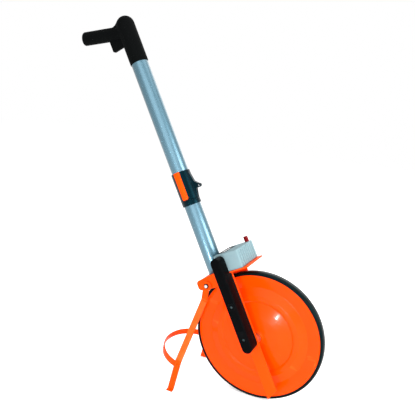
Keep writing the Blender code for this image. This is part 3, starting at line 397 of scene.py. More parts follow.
def paint(colour, deeper, peel_depth, gloss, edges, coat):
    made, tree, shader = new_material("paint", {
        "Coat Weight": coat, "Coat Roughness": 0.06, "Specular IOR Level": 0.04})
    where = own_place(tree)
    skin = place_group(tree, paint_group, {
        "Vector": where, "Colour": colour, "Deeper": deeper, "Peel Depth": peel_depth,
        "Gloss": gloss})
    wear(tree, shader, where, skin["Colour"], edges, skin)
    return made


def plastic(colour, deeper, grain, gloss, edges, specular=0.06, tint=no_tint):
    """The grain is a scale and a depth, and the gloss its lowest and highest roughness."""
    made, tree, shader = new_material("plastic", {
        "Specular IOR Level": specular, "Specular Tint": tint})
    where = own_place(tree)
    skin = place_group(tree, grain_group, {
        "Vector": where, "Grain Scale": grain[0], "Grain Depth": grain[1], "Smooth": gloss[0],
        "Rough": gloss[1]})
    tone = mix_colour(tree, skin["Patches"], colour, deeper)
    wear(tree, shader, where, tone, edges, skin)
    return made


def metal(colour, deeper, stretch, gloss, line_depth, metallic=1.0, edge=None, coat=0.0):
    """Metal, whose colour can deepen towards the edges that it turns away from the eye. This deeper colour is
    painted shade, in place of a dark reflection along a round tube's sides.
    """
    made, tree, shader = new_material("metal", {
        "Metallic": metallic, "Coat Weight": coat, "Coat Roughness": 0.22})
    skin = place_group(tree, drawn_group, {
        "Vector": own_place(tree), "Stretch": stretch, "Colour": colour, "Deeper": deeper,
        "Smooth": gloss[0], "Rough": gloss[1], "Line Depth": line_depth})
    tone = skin["Colour"]
    if edge:
        # Painted shade: the colour darkens where the surface turns away from the eye, standing in for a dark
        # reflection.
        painted_shade_share = add(tree, "LayerWeight", {"Blend": 0.3}).outputs["Facing"]
        tone = mix_colour(tree, painted_shade_share, tone, edge)
    fill(tree, shader, {
        "Base Color": tone, "Roughness": skin["Roughness"], "Normal": skin["Normal"]})
    return made


def clear_plastic():
    """Clear plastic keeps a plain colour; only its gloss is touched by faint smears."""
    made, tree, shader = new_material("clear", {
        "Base Color": (0.93, 0.96, 0.96), "Transmission Weight": 1.0, "IOR": 1.46})
    smears = noise(tree, own_place(tree), 90.0, 4.0)
    fill(tree, shader, {"Roughness": stretch_to(tree, smears, 0.02, 0.10)})
    return made


print("material makers ready")

# %% [markdown]
# Each finish is named after the material slot that it serves. Three more have no slot of their
# own: the joint's shinier black, the handle's duller one, and the housing's darker screws.

# %% The finishes
along_pole = (900.0, 900.0, 9.0)
along_rod = (1200.0, 1200.0, 60.0)
finishes = {
    "wheel_paint": paint((1.0, 0.067, 0.0), (0.93, 0.056, 0.0), 0.03, 0.17,
                         ((1.0, 0.16, 0.02), 0.5), 0.10),
    "frame_paint": paint((0.97, 0.072, 0.001), (0.86, 0.056, 0.0), 0.08, 0.30,
                         ((1.0, 0.18, 0.04), 0.7), 0.03),
    "button_plastic": plastic((1.0, 0.085, 0.0), (0.9, 0.065, 0.0), (1200.0, 0.03),
                              (0.28, 0.42), ((1.0, 0.2, 0.05), 0.4)),
    "black_plastic": plastic((0.001, 0.0012, 0.0015), (0.002, 0.0025, 0.003), (1100.0, 0.10),
                             (0.30, 0.46), ((0.02, 0.024, 0.026), 0.5), 0.015),
    "joint_plastic": plastic((0.001, 0.003, 0.005), (0.002, 0.005, 0.007), (1300.0, 0.06),
                             (0.26, 0.38), ((0.03, 0.04, 0.043), 0.5), 0.35,
                             (0.02, 0.30, 0.42)),
    "handle_plastic": plastic((0.0015, 0.0018, 0.002), (0.003, 0.0035, 0.0035), (700.0, 0.30),
                              (0.5, 0.68), ((0.014, 0.016, 0.016), 0.5), 0.02),
    "tyre_rubber": plastic((0.0015, 0.002, 0.002), (0.003, 0.004, 0.004), (1500.0, 0.12),
                           (0.30, 0.45), ((0.012, 0.014, 0.015), 0.4), 0.12,
                           (0.10, 0.50, 0.60)),
    "soft_rubber": plastic((0.012, 0.012, 0.012), (0.02, 0.02, 0.02), (1600.0, 0.2),
                           (0.6, 0.8), ((0.04, 0.04, 0.04), 0.5)),
    "counter_grey": plastic((0.23, 0.34, 0.37), (0.19, 0.29, 0.32), (1000.0, 0.10),
                            (0.36, 0.52), ((0.42, 0.52, 0.55), 0.5)),
    "drum_white": plastic((0.80, 0.80, 0.76), (0.72, 0.72, 0.68), (1200.0, 0.04),
                          (0.35, 0.5), ((0.9, 0.9, 0.86), 0.3)),
    "digit_ink": plastic((0.01, 0.01, 0.01), (0.02, 0.02, 0.02), (1500.0, 0.02),
                         (0.4, 0.55), ((0.05, 0.05, 0.05), 0.2)),
    "knob_red": plastic((0.23, 0.006, 0.008), (0.15, 0.004, 0.006), (1300.0, 0.05),
                        (0.26, 0.4), ((0.4, 0.03, 0.03), 0.5)),
    # The pole's edge colour is painted shade: both sides of the tube are darker, standing in for a dark
    # reflection.
    "pole_metal": metal((0.095, 0.20, 0.26), (0.072, 0.165, 0.22), along_pole, (0.36, 0.42),
                        0.004, metallic=0.85, edge=(0.015, 0.07, 0.09), coat=0.7),
    "steel": metal((0.60, 0.62, 0.63), (0.44, 0.46, 0.47), along_rod, (0.22, 0.42), 0.08),
    "dark_steel": metal((0.045, 0.07, 0.075), (0.03, 0.045, 0.05), along_rod, (0.4, 0.55),
                        0.05),
    "window_clear": clear_plastic(),
}
for name, made in finishes.items():
    made.name = name
print("finishes", len(finishes))

# %% [markdown]
# Every frame node first gets the finish of its material slot, so nothing is ever left plain. The
# pieces that follow then stand in for the nodes that show.

# %% Dress the frame's own nodes
for node, made in frame["nodes"].items():
    made.data.materials.clear()
    made.data.materials.append(finishes[slot_of[node]])
print("frame nodes dressed", len(slot_of))

# %% [markdown]
# The pieces are built from outlines, which are lists of corners. Each corner can be rounded by a
# small curve.

# %% Outlines
across = Matrix.Rotation(-math.pi / 2, 4, "X")
upright = Matrix.Rotation(math.pi / 2, 4, "X")
forward = Matrix.Rotation(math.pi / 2, 4, "Y")
no_turn = Matrix.Identity(4)
sides = (("near", -1), ("far", 1))
gap = 0.0003
smallest = 0.000001


def at(place, turn=no_turn):
    return Matrix.Translation(Vector(place)) @ turn


def arc(centre, radius, start, end, steps):
    turns = [math.radians(start + (end - start) * i / steps) for i in range(steps + 1)]
    return [(centre[0] + radius * math.cos(a), centre[1] + radius * math.sin(a)) for a in turns]


def kept(points):
    """Points that are already part of a curve, so they get no rounding of their own."""
    return [(*point, 0.0) for point in points]


def rectangle(left, foot, right, top):
    return [(left, foot), (right, foot), (right, top), (left, top)]


def rounded(points, radius, steps=5, closed=True):
    """Round the corners of an outline. A third number in a point is that corner's own radius."""
    made = []
    count = len(points)
    for i, point in enumerate(points):
        here = Vector(point[:2])
        if not closed and i in (0, count - 1):
            made.append(tuple(here))
            continue
        before = Vector(points[i - 1][:2]) - here
        after = Vector(points[(i + 1) % count][:2]) - here
        own = point[2] if len(point) > 2 else radius
        half = before.angle(after) / 2
        reach = min(own / max(math.tan(half), smallest), before.length * 0.48,
                    after.length * 0.48)
        if reach < smallest:
            made.append(tuple(here))
            continue
        first = here + before.normalized() * reach
        last = here + after.normalized() * reach
        for step in range(steps + 1):
            share = step / steps
            made.append(tuple(first * (1 - share) ** 2 + here * 2 * share * (1 - share)
                              + last * share ** 2))
    return made


def offset_line(points, distance):
    """The same line moved sideways, which is how a sheet gets its second face."""
    moved = []
    for i, here in enumerate(points):
        before = Vector(points[max(i - 1, 0)])
        after = Vector(points[min(i + 1, len(points) - 1)])
        along = (after - before).normalized()
        moved.append((here[0] + along.y * distance, here[1] - along.x * distance))
    return moved


print("outline helpers ready")

# %% [markdown]
# Outlines become solids in a few ways: as a plate, as a turned piece or as a bent strip. Blocks
# and rods are there too, mostly to cut with.

# %% Solid shapes
def new_object(name, shape, place):
    mesh = bpy.data.meshes.new(name)
    shape.to_mesh(mesh)
    shape.free()
    mesh.transform(place)
    return add_object(name, mesh)


def plate(name, outline, thickness, place=upright):
    shape = bmesh.new()
    corners = [shape.verts.new((x, y, -thickness / 2)) for x, y in outline]
    face = shape.faces.new(corners)
    grown = bmesh.ops.extrude_face_region(shape, geom=[face])
    moved = [item for item in grown["geom"] if isinstance(item, bmesh.types.BMVert)]
    bmesh.ops.translate(shape, vec=(0, 0, thickness), verts=moved)
    bmesh.ops.recalc_face_normals(shape, faces=shape.faces)
    return new_object(name, shape, place)


def block(name, size, place):
    shape = bmesh.new()
    bmesh.ops.create_cube(shape, size=1)
    bmesh.ops.scale(shape, vec=size, verts=shape.verts)
    return new_object(name, shape, place)


def rod(name, radius, length, place, steps=48):
    shape = bmesh.new()
    bmesh.ops.create_cone(shape, cap_ends=True, segments=steps, radius1=radius, radius2=radius,
                          depth=length)
    turn = Matrix.Rotation(math.pi / steps, 3, "Z")
    bmesh.ops.rotate(shape, cent=(0, 0, 0), matrix=turn, verts=shape.verts)
    return new_object(name, shape, place)


def bore(name, radius, length, spot, steps=48):
    """A rod that lies across, which is what nearly every hole is cut with."""
    return rod(name, radius, length, at(spot, across), steps)


def turned(name, profile, place, around):
    """Spin (radius, height) points about Z. A profile that starts on the axis ends there too."""
    shape = bmesh.new()
    ring = [shape.verts.new((radius, 0, height)) for radius, height in profile]
    pairs = list(zip(ring, ring[1:]))
    if profile[0][0] > 0:
        pairs.append((ring[-1], ring[0]))
    edges = [shape.edges.new(pair) for pair in pairs]
    bmesh.ops.spin(shape, geom=ring + edges, cent=(0, 0, 0), axis=(0, 0, 1), angle=math.tau,
                   steps=around, use_merge=True, use_duplicate=False)
    bmesh.ops.remove_doubles(shape, verts=shape.verts, dist=smallest * 2)
    bmesh.ops.recalc_face_normals(shape, faces=shape.faces)
    return new_object(name, shape, place)


def lathe(name, points, corner, steps, place, around):
    """A turned piece whose profile has rounded corners."""
    profile = rounded(points, corner, steps, closed=points[0][0] > 0)
    return turned(name, profile, place, around)


def strip(name, route, width, thickness):
    """A flat bar bent along a route of (across, up) points, its width along X."""
    outline = offset_line(route, thickness / 2) + offset_line(route, -thickness / 2)[::-1]
    shape = bmesh.new()
    near = [shape.verts.new((-width / 2, y, z)) for y, z in outline]
    far = [shape.verts.new((width / 2, y, z)) for y, z in outline]
    for i in range(len(route) - 1):
        j = len(outline) - 1 - i
        shape.faces.new((near[i], near[i + 1], near[j - 1], near[j]))
        shape.faces.new((far[j], far[j - 1], far[i + 1], far[i]))
    for i in range(len(outline)):
        k = (i + 1) % len(outline)
        shape.faces.new((near[k], near[i], far[i], far[k]))
    bmesh.ops.recalc_face_normals(shape, faces=shape.faces)
    return new_object(name, shape, no_turn)


print("shape helpers ready")

# %% [markdown]
# Cuts and joins are Boolean modifiers, which are applied at once so that every piece ends as a
# clean mesh. A finished piece then settles on its body.

# %% Changes to a shape
def bake(made):
    """Swap an object's mesh for the one that its modifiers give."""
    bpy.context.view_layer.update()
    graph = bpy.context.evaluated_depsgraph_get()
    mesh = bpy.data.meshes.new_from_object(made.evaluated_get(graph))
    made.modifiers.clear()
    made.data = mesh
    mesh.name = made.name


def combine(made, operation, others):
    """Cut with other shapes or join them, and then remove them."""
    for other in others:
        change = made.modifiers.new(other.name, "BOOLEAN")
        change.operation = operation
        change.object = other
    bake(made)
    for other in others:
        bpy.data.objects.remove(other, do_unlink=True)


def cut(made, *others):
    combine(made, "DIFFERENCE", others)


def join(made, *others):
    combine(made, "UNION", others)


def soften(made, width, segments=3, angle=35):
    change = made.modifiers.new("soft_edges", "BEVEL")
    change.width = width
    change.segments = segments
    change.limit_method = "ANGLE"
    change.angle_limit = math.radians(angle)
    bake(made)


def melt(made, voxel, rounds):
    """Fuse joined shapes into one skin and smooth the corners between them, as a mould does."""
    change = made.modifiers.new("skin", "REMESH")
    change.mode = "VOXEL"
    change.voxel_size = voxel
    ease = made.modifiers.new("ease", "SMOOTH")
    ease.factor = 0.5
    ease.iterations = rounds
    bake(made)


def settle(made, *nodes, body=None, slot=None, finish=None, sharp=32):
    """Give a finished piece its material and shading, and hang it on its body.

    Its body and slot are those of the node that it stands for. Its finish is that of its slot,
    unless another one is named. Edges sharper than the given angle stay crisp.
    """
    body = body or body_of[nodes[0]]
    slot = slot or slot_of[nodes[0]]
    made.data.materials.clear()
    made.data.materials.append(finishes[finish or slot])
    made.data.shade_smooth()
    made.data.set_sharp_from_angle(angle=math.radians(sharp))
    made.matrix_world = pole_frame
    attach(made, body)
    if nodes:
        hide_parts(*nodes)


print("mesh helpers ready")

# %% [markdown]
# The tyre is a band of hard rubber. A plain ring would look sharp and dead, so its section has
# rounded shoulders and two fine lines along the tread, which is what the mould leaves.

# %% The tyre
wheel_radius = wheel_centre.z
tyre_half_width = span("tyre")[1].y
tyre_height = 0.0078
rim_radius = wheel_radius - tyre_height
tread_line_depth = 0.0005
tread_line_half = 0.0006
tread_line_at = 0.0052
wheel_steps = 200


def make_tyre():
    right = [(rim_radius + gap, tyre_half_width, 0.0004),
             (wheel_radius - 0.0024, tyre_half_width, 0.0014),
             (wheel_radius - 0.0003, tyre_half_width * 0.66, 0.006)]
    lines = [(wheel_radius - tread_line_depth * depth,
              side * tread_line_at + edge * tread_line_half, 0.0002)
             for side in (1, -1) for edge, depth in ((1, 0), (1, 1), (-1, 1), (-1, 0))]
    left = [(radius, -height, corner) for radius, height, corner in reversed(right)]
    tyre = lathe("tyre_band", right + lines + left, 0.0004, 4, across, wheel_steps)
    settle(tyre, "tyre")


make_tyre()
print("tyre radius", round(wheel_radius, 4))

# %% [markdown]
# Each disc is one pressed sheet: a curled rim, a channel, a raised ring, a step and a shallow
# dome. The section is drawn once, its corners are rounded by the press's radii, and a second line
# beside it gives the sheet its thickness.

# %% The pressed discs
sheet_wall = 0.0012
rim_face = 0.011
dome_face = 0.0195
disc_section = [
    (rim_radius, 0.0004), (rim_radius, rim_face + 0.0002, 0.0016),
    (rim_radius - 0.0062, rim_face - 0.0006, 0.003), (0.1285, 0.0068, 0.008),
    (0.1215, 0.0052, 0.007), (0.1015, 0.0118, 0.008), (0.0905, 0.0128, 0.005),
    (0.0862, 0.0106, 0.003), (0.0700, 0.0137, 0.030), (0.0500, 0.0171, 0.030),
    (0.0300, 0.0192, 0.020), (0.0240, dome_face, 0.004), (0.0123, dome_face),
]


def make_discs():
    outer = rounded(disc_section, 0.003, 6, closed=False)
    inner = offset_line(outer, -sheet_wall)
    for name, side in sides:
        profile = [(radius, side * height) for radius, height in outer + inner[::-1]]
        disc = turned("disc_" + name, profile, across, wheel_steps)
        settle(disc, "wheel_disc_" + name, sharp=50)


make_discs()
print("disc rings", len(disc_section))

# %% [markdown]
# The fork is two plates of painted steel with a flat carrier across them. Punched and sprayed
# sheet has small round corners and a soft edge, so each outline is rounded before it gets its
# thickness, and a fine bevel follows. The near plate ends in a pointer, the far one in a round.

# %% The fork plates and the carrier
sheet = 0.003
bar_half = 0.01425
pointer_reach = 0.141
fork_half_gap = span("fork_plate_far")[0].y
stand_pivot = joint_spot("stand_fold")
fork_top = 0.1719
ear_low_edge = 0.1455
ear_front = 0.0245
ear_reach = 0.0240
ear_head = 0.0172
ear_drop = 0.0075
ear_corner = 0.0085
bearing_radius = 0.011
bolt_radius = 0.003


def fork_outline(foot):
    rear = stand_pivot.x - ear_reach + ear_corner
    upper = arc((rear, stand_pivot.z + ear_head - ear_corner), ear_corner, 100, 180, 8)
    lower = arc((rear, stand_pivot.z - ear_drop + ear_corner), ear_corner, 180, 255, 8)
    edge = [
        (bar_half, fork_top, 0.001), (-ear_front + gap, fork_top, 0.0005),
        (-ear_front, fork_top + 0.0095, 0.0005), *kept(upper + lower),
        (-0.030, ear_low_edge, 0.004), (-bar_half, ear_low_edge - bar_half, 0.006),
    ]
    return rounded(foot + edge, 0.001, 4)


def make_fork():
    pointer = [(-bar_half, -pointer_reach, 0.001), (bar_half, -pointer_reach + 0.017, 0.003)]
    round_foot = kept(arc((0, -0.030 + bar_half), bar_half, 180, 360, 16))
    for (name, side), foot in zip(sides, (pointer, round_foot)):
        middle = side * (fork_half_gap + sheet / 2)
        made = plate("fork_bar_" + name, fork_outline(foot), sheet, at((0, middle, 0), upright))
        cut(made, bore("bearing_hole", bearing_radius + gap, sheet * 3, (0, middle, 0)),
            bore("bolt_hole", bolt_radius + gap, sheet * 3,
                 (stand_pivot.x, middle, stand_pivot.z)))
        soften(made, 0.0006)
        settle(made, "fork_plate_" + name)


def make_carrier():
    low, high = span("carrier_plate")
    middle = (low.z + high.z) / 2
    outline = rounded(rectangle(low.x, low.y, high.x, high.y), 0.003)
    made = plate("carrier_sheet", outline, high.z - low.z, at((0, 0, middle)))
    notch_depth = high.y - fork_half_gap - sheet
    cut(made, block("notch", (ear_front + gap * 2, notch_depth * 2, sheet * 3),
                    at((0, low.y, middle))))
    soften(made, 0.0005)
    settle(made, "carrier_plate")


make_fork()
make_carrier()
print("fork and carrier done")

# %% [markdown]
# The belt runs in a long black housing with round ends. Its cover is a moulding with generous
# edges, two shallow sunk fields on its face, and two screws.

# %% The belt housing
housing_half = 0.01225
housing_wall = 0.002
cover_low, cover_high = span("housing_cover")
upper_end = cover_high.z - housing_half
cover_face = cover_low.y
field_half = 0.0088
field_depth = 0.0004
fields = ((0.040, 0.092), (0.108, 0.136))
screw_rises = (0.0208, 0.100)


def long_outline(radius):
    return arc((0, upper_end), radius, 0, 180, 24) + arc((0, 0), radius, 180, 360, 24)


def make_cover():
    depth = cover_high.y - cover_low.y
    middle = (cover_high.y + cover_low.y) / 2
    cover = plate("belt_cover", long_outline(housing_half), depth, at((0, middle, 0), upright))
    soften(cover, 0.0018, 4)
    holes = [plate("hollow", long_outline(housing_half - housing_wall), depth,
                   at((0, middle + housing_wall, 0), upright))]
    for low, high in fields:
        field = rounded(rectangle(-field_half, low, field_half, high), 0.002)
        holes.append(plate("field", field, field_depth * 2, at((0, cover_face, 0), upright)))
    for rise in screw_rises:
        holes.append(bore("head_hole", 0.0033, 0.0034, (0, cover_face, rise), 32))
    cut(cover, *holes)
    settle(cover, "housing_cover")


def make_back():
    outline = arc((0, 0), housing_half, 180, 360, 24)
    outline += [(housing_half, fork_top), (-housing_half, fork_top)]
    seam = cover_high.y + gap
    rear = span("housing_back")[1].y
    depth = rear - seam
    spot = (0, (rear + seam) / 2, 0)
    back = plate("belt_back", outline, depth, at(spot, upright))
    cut(back, bore("axle_way", 0.0095, depth * 2, spot))
    soften(back, 0.0006)
    settle(back, "housing_back")


make_cover()
make_back()
print("housing done")

# %% [markdown]
# Screws repeat all over this object, so one function makes them: a low domed head with a cross
# recess, on a plain shank.

# %% Screws with a cross recess
head_radius = 0.0030
head_height = 0.0014
shank_radius = 0.0013


def screw(name, node, place, reach, finish="steel"):
    """The head rises along the place's Z from zero, and the shank runs down from it."""
    made = lathe(name, [(0, head_height), (head_radius * 0.55, head_height, 0.002),
                        (head_radius, head_height * 0.45, 0.0004), (head_radius, 0),
                        (shank_radius, 0), (shank_radius, -reach), (0, -reach)],
                 0.0002, 3, no_turn, 40)
    long, short = head_radius * 1.15, head_radius * 0.24
    top = at((0, 0, head_height))
    cut(made, block("slot", (long, short, head_height), top),
        block("slot", (short, long, head_height), top))
    made.data.transform(place)
    settle(made, node, finish=finish)


for number, rise in enumerate(screw_rises, 1):
    screw(f"cover_screw_{number}", f"housing_screw_{number}",
          at((0, cover_face + 0.0015, rise), upright), 0.0195, "dark_steel")
print("housing screws", len(screw_rises))

# %% [markdown]
# The counter is a grey moulding. Its front carries upright ribs, its top a framed window over the
# five number drums, and its edges are rounded.

# %% The counter's case
case_low, case_high = span("counter_case")
case_front = 0.048
case_wall = 0.002
rib_count = 9
rib_width = 0.0026
rib_proud = 0.0014
drum_bore = 0.0033
window_low, window_high = span("counter_window")
knob_low, knob_high = span("reset_knob")
knob_spot = (knob_low + knob_high) / 2


def make_case():
    size = Vector((case_front - case_low.x, case_high.y - case_low.y, case_high.z - case_low.z))
    middle = Vector(((case_front + case_low.x) / 2, 0, (case_high.z + case_low.z) / 2))
    case = block("counter_shell", size, at(middle))
    soften(case, 0.0016, 4)
    ribs = []
    for i in range(1, rib_count):
        ribs.append(block("rib", (rib_proud * 2, rib_width, size.z - rib_width * 2),
                          at((case_front, case_low.y + size.y / rib_count * i, middle.z))))
        soften(ribs[-1], 0.0007)
    join(case, *ribs)
    opening = window_high - window_low
    cut(case,
        block("inside", (size.x - case_wall * 2, size.y - case_wall * 2, size.z),
              at(middle - Vector((0, 0, case_wall)))),
        block("window", (opening.x + gap * 2, opening.y + gap * 2, case_wall * 3),
              at((0, 0, case_high.z))),
        bore("shaft_hole", drum_bore, size.y * 1.5, (0, 0, joint_spot("counter_turn").z), 32),
        rod("knob_hole", 0.0058, case_wall * 3, at((knob_spot.x, knob_spot.y, case_high.z)),
            40))
    settle(case, "counter_case")


def make_bezel():
    outer = rounded(rectangle(-0.0105, -0.0335, 0.0105, 0.0335), 0.002)
    inner = rounded(rectangle(-0.0083, -0.0313, 0.0083, 0.0313), 0.001)
    bezel = plate("window_bezel", outer, 0.0010, at((0, 0, case_high.z + 0.0004)))
    cut(bezel, plate("inside", inner, 0.004, at((0, 0, case_high.z))))
    soften(bezel, 0.0003, 2)
    settle(bezel, body="fork_frame", slot="black_plastic")


make_case()
make_bezel()
print("counter ribs", rib_count - 1)

# %% [markdown]
# Five drums turn on one shaft. Each shows ten plain digits, which are thin solid shapes wrapped
# round it.

# %% The number drums
drum_names = ("tenths", "ones", "tens", "hundreds", "thousands")
digit_size = 0.0058 * 1.35
digit_proud = 0.00012


def wrapped_digit(character, radius, middle, turn):
    """A digit's mesh points, laid on a drum about the Y axis and turned to its place."""
    curve = bpy.data.curves.new("digit", "FONT")
    curve.body = character
    curve.size = digit_size
    curve.align_x = "CENTER"
    curve.align_y = "CENTER"
    text = add_object("digit", curve)
    bpy.context.view_layer.update()
    graph = bpy.context.evaluated_depsgraph_get()
    mesh = bpy.data.meshes.new_from_object(text.evaluated_get(graph))
    bpy.data.objects.remove(text, do_unlink=True)
    shape = bmesh.new()
    shape.from_mesh(mesh)
    bmesh.ops.triangulate(shape, faces=shape.faces)
    bmesh.ops.remove_doubles(shape, verts=shape.verts, dist=0.000005)
    for vertex in shape.verts:
        angle = vertex.co.y / radius + turn
        vertex.co = (-radius * math.sin(angle), middle - vertex.co.x, radius * math.cos(angle))
    shape.to_mesh(mesh)
    shape.free()
    return mesh


def make_drums():
    rise = joint_spot("counter_turn").z
    for name in drum_names:
        node = "digit_drum_" + name
        low, high = span(node)
        radius = (high.z - low.z) / 2
        half = (high.y - low.y) / 2
        middle = (high.y + low.y) / 2
        section = [(radius, half), (radius, -half), (drum_bore, -half), (drum_bore, half)]
        drum = lathe("number_" + node, section, 0.0004, 5, at((0, middle, rise), across), 72)
        settle(drum, node)
        shape = bmesh.new()
        for digit in range(10):
            mesh = wrapped_digit(str(digit), radius + digit_proud, middle, math.tau * digit / 10)
            shape.from_mesh(mesh)
            bpy.data.meshes.remove(mesh)
        bmesh.ops.solidify(shape, geom=shape.faces[:], thickness=digit_proud * 1.5)
        digits = new_object("digits_" + name, shape, at((0, 0, rise)))
        settle(digits, body=body_of[node], slot="drum_white", finish="digit_ink")


make_drums()
print("drums with digits", len(drum_names))

# %% [markdown]
# The reset knob is a small turned button with fluted sides, so that a wet finger can push it.

# %% The reset knob
knob_radius = 0.0055
flange_radius = 0.0062
flange_height = 0.002
stem_radius = 0.0025
flute_count = 14


def make_knob():
    top = knob_high.z
    flange = case_high.z - 0.0023
    knob = lathe("red_button", [
        (0, top), (knob_radius, top, 0.0014), (knob_radius, flange), (flange_radius, flange),
        (flange_radius, flange - flange_height), (stem_radius, flange - flange_height),
        (stem_radius, knob_low.z), (0, knob_low.z)],
        0.0003, 4, at((knob_spot.x, knob_spot.y, 0)), 64)
    flutes = []
    for i in range(flute_count):
        angle = math.tau * i / flute_count
        place = (knob_spot.x + (knob_radius + 0.0004) * math.cos(angle),
                 knob_spot.y + (knob_radius + 0.0004) * math.sin(angle), top - 0.0052)
        flutes.append(rod("flute", 0.0007, 0.0085, at(place), 10))
    cut(knob, *flutes)
    settle(knob, "reset_knob")


make_knob()
print("knob flutes", flute_count)

# %% [markdown]
# The pole is drawn aluminium tube with a blue-grey anodised skin. A fine mesh keeps its long
# highlight straight and even. Its finish darkens towards both sides, which is painted shade.

# %% The pole
pole_axis_x = (span("pole_upper")[0].x + span("pole_upper")[1].x) / 2
on_pole = at((pole_axis_x, 0, 0))
pole_radius = 0.021
tube_wall = 0.0015


def make_tubes():
    inner = pole_radius - tube_wall
    for name in ("lower", "upper"):
        low, high = span("pole_" + name)
        tube = lathe(name + "_tube", [(pole_radius, high.z), (pole_radius, low.z),
                                      (inner, low.z), (inner, high.z)], 0.0003, 3, on_pole, 128)
        settle(tube, "pole_" + name)


make_tubes()
print("pole radius", pole_radius)

# %% [markdown]
# The pole folds at two black collars. The lower one has a lug for the hinge pin, and the upper one
# swells forward into the two ears that hold it. A mould has no sharp inside corners, so the upper
# collar's shapes are fused and smoothed before its seats are cut. The fused shape starts lower
# than the collar does, and is trimmed level, so that its foot stays crisp.

# %% The collars
knuckle = joint_spot("handle_fold")
split_rise = span("upper_collar")[0].z
collar_radius = 0.0238
upper_top = 0.4352
upper_seat_depth = 0.0130
lower_seat_depth = 0.0062
plug_length = 0.022
rod_way = 0.0033
ear_half = 0.005
ear_inset = 0.0088
lug_half = 0.0018
lug_inset = 0.0093
lug_reach = 0.0182
lug_radius = 0.0040
knuckle_radius = 0.0048
shoulder_rise = 0.014
pin_radius = 0.0015
button_foot = split_rise + 0.0024
button_half = 0.008
button_pin_radius = 0.001


def make_lower_collar():
    foot = span("pole_lower")[1].z - lower_seat_depth + gap
    seat = foot + lower_seat_depth
    plug = pole_radius - 0.0018
    collar = lathe("joint_ring", [
        (collar_radius, split_rise - gap, 0.0006), (collar_radius, foot, 0.0012),
        (pole_radius + gap, foot, 0.0004), (pole_radius + gap, seat), (plug, seat),
        (plug, foot - plug_length, 0.001), (rod_way, foot - plug_length),
        (rod_way, split_rise - gap)], 0.0002, 4, on_pole, 112)
    x, z = knuckle.x, knuckle.z
    back = x - lug_reach + gap
    front = pole_axis_x + collar_radius - gap * 2
    outline = [
        (back, seat + gap), (front, seat + gap), (front, split_rise),
        (x - lug_inset, z - knuckle_radius), *kept(arc((x, z), lug_radius, -90, 120, 14)),
        (back, z - lug_radius, 0.001)]
    join(collar, plate("lug", rounded(outline, 0.0004, 3), lug_half * 2))
    soften(collar, 0.0004, 2)
    cut(collar, bore("pin_hole", pin_radius + gap, lug_half * 4, knuckle, 32),
        block("pocket", (0.0129, 0.0060, 0.0095),
              at((pole_axis_x - 0.00165, -0.0191, split_rise))))
    settle(collar, "lower_collar", finish="joint_plastic")


def make_upper_collar():
    foot = split_rise
    front = pole_axis_x + collar_radius
    x, z = knuckle.x, knuckle.z
    collar = lathe("joint_sleeve", [
        (0, upper_top), (collar_radius, upper_top, 0.0008), (collar_radius, foot - 0.004),
        (0, foot - 0.004)], 0.0006, 3, on_pole, 112)
    outline = [
        (pole_axis_x, foot + gap), (front, foot + gap), (x - ear_inset, z - knuckle_radius, 0.003),
        *kept(arc((x, z), knuckle_radius, -120, 80, 16)),
        (x - ear_inset, z + shoulder_rise, 0.008), (front - 0.0015, upper_top - gap),
        (pole_axis_x, upper_top - gap)]
    flare = plate("flare", rounded(outline, 0.0006, 5), ear_half * 2)
    soften(flare, 0.0008)
    join(collar, flare)
    melt(collar, 0.0006, 6)
    seat = upper_top - upper_seat_depth
    inside = [(0, upper_top + 0.002), (pole_radius + gap, upper_top + 0.002),
              (pole_radius + gap, seat), (rod_way, seat), (rod_way, foot - 0.002),
              (0, foot - 0.002)]
    slot_length = knuckle_radius * 3 + lug_reach
    slot_top = z + lug_radius + gap * 4
    cavity_back = collar_radius - 0.0119
    cavity_front = collar_radius + 0.004
    cut(collar,
        turned("seat", inside, on_pole @ Matrix.Rotation(0.02, 4, "Z"), 96),
        block("base_trim", (0.12, 0.12, 0.01), at((pole_axis_x, 0, foot - 0.005 + gap / 2))),
        block("slot", (slot_length, (lug_half + gap) * 2, slot_top - foot + 0.004),
              at((x - lug_reach + slot_length / 2, 0, (slot_top + foot - 0.004) / 2))),
        bore("pin_hole", pin_radius + gap, ear_half * 4, knuckle, 32),
        block("cavity", ((button_half + gap) * 2, cavity_front - cavity_back, 0.0800),
              at((pole_axis_x, -(cavity_front + cavity_back) / 2, button_foot - gap + 0.0400))),
        block("tongue_way", (0.0096, 0.0086, 0.0096), at((pole_axis_x, -0.0177, foot))),
        rod("button_pin_hole", button_pin_radius, button_half * 2 + 0.003,
            at(joint_spot("latch_press"), forward), 16))
    settle(collar, "upper_collar", finish="joint_plastic")


make_lower_collar()
make_upper_collar()
print("collars done")

# %% [markdown]
# The latch button is a curved orange tongue that fills a window in the collar. It is cut from a
# thick ring with a rounded outline, the way that a mould would be split, and then its edges are
# eased. Below it a small catch reaches down into the lower collar's pocket.

# %% The latch button
def make_button():
    face = collar_radius + 0.0006
    thick_back, thin_back = face - 0.0075, face - 0.0026
    thin_foot = button_foot + 0.0545
    button = lathe("latch_tongue", [
        (face, upper_top), (face, split_rise), (thick_back, split_rise),
        (thick_back, thin_foot - 0.0038), (thin_back, thin_foot), (thin_back, upper_top)],
        0.0003, 2, on_pole, 160)
    left, right = pole_axis_x - button_half, pole_axis_x + button_half
    head = upper_top + 0.0005
    outline = [(left, button_foot, 0.002), (right, button_foot, 0.0046), (right, head, 0.0015),
               (left, head, 0.0015)]
    keep = plate("keep", rounded(outline, 0.002, 6), 0.020, at((0, -face - 0.0015, 0), upright))
    combine(button, "INTERSECT", [keep])
    soften(button, 0.0007, 3, 45)
    cut(button,
        bore("spring_pocket", 0.0039, 0.0104, (pole_axis_x, -thick_back, button_foot + 0.020),
             32),
        rod("bore", button_pin_radius, 0.03, at(joint_spot("latch_press"), forward), 16))
    settle(button, "latch_button", sharp=40)


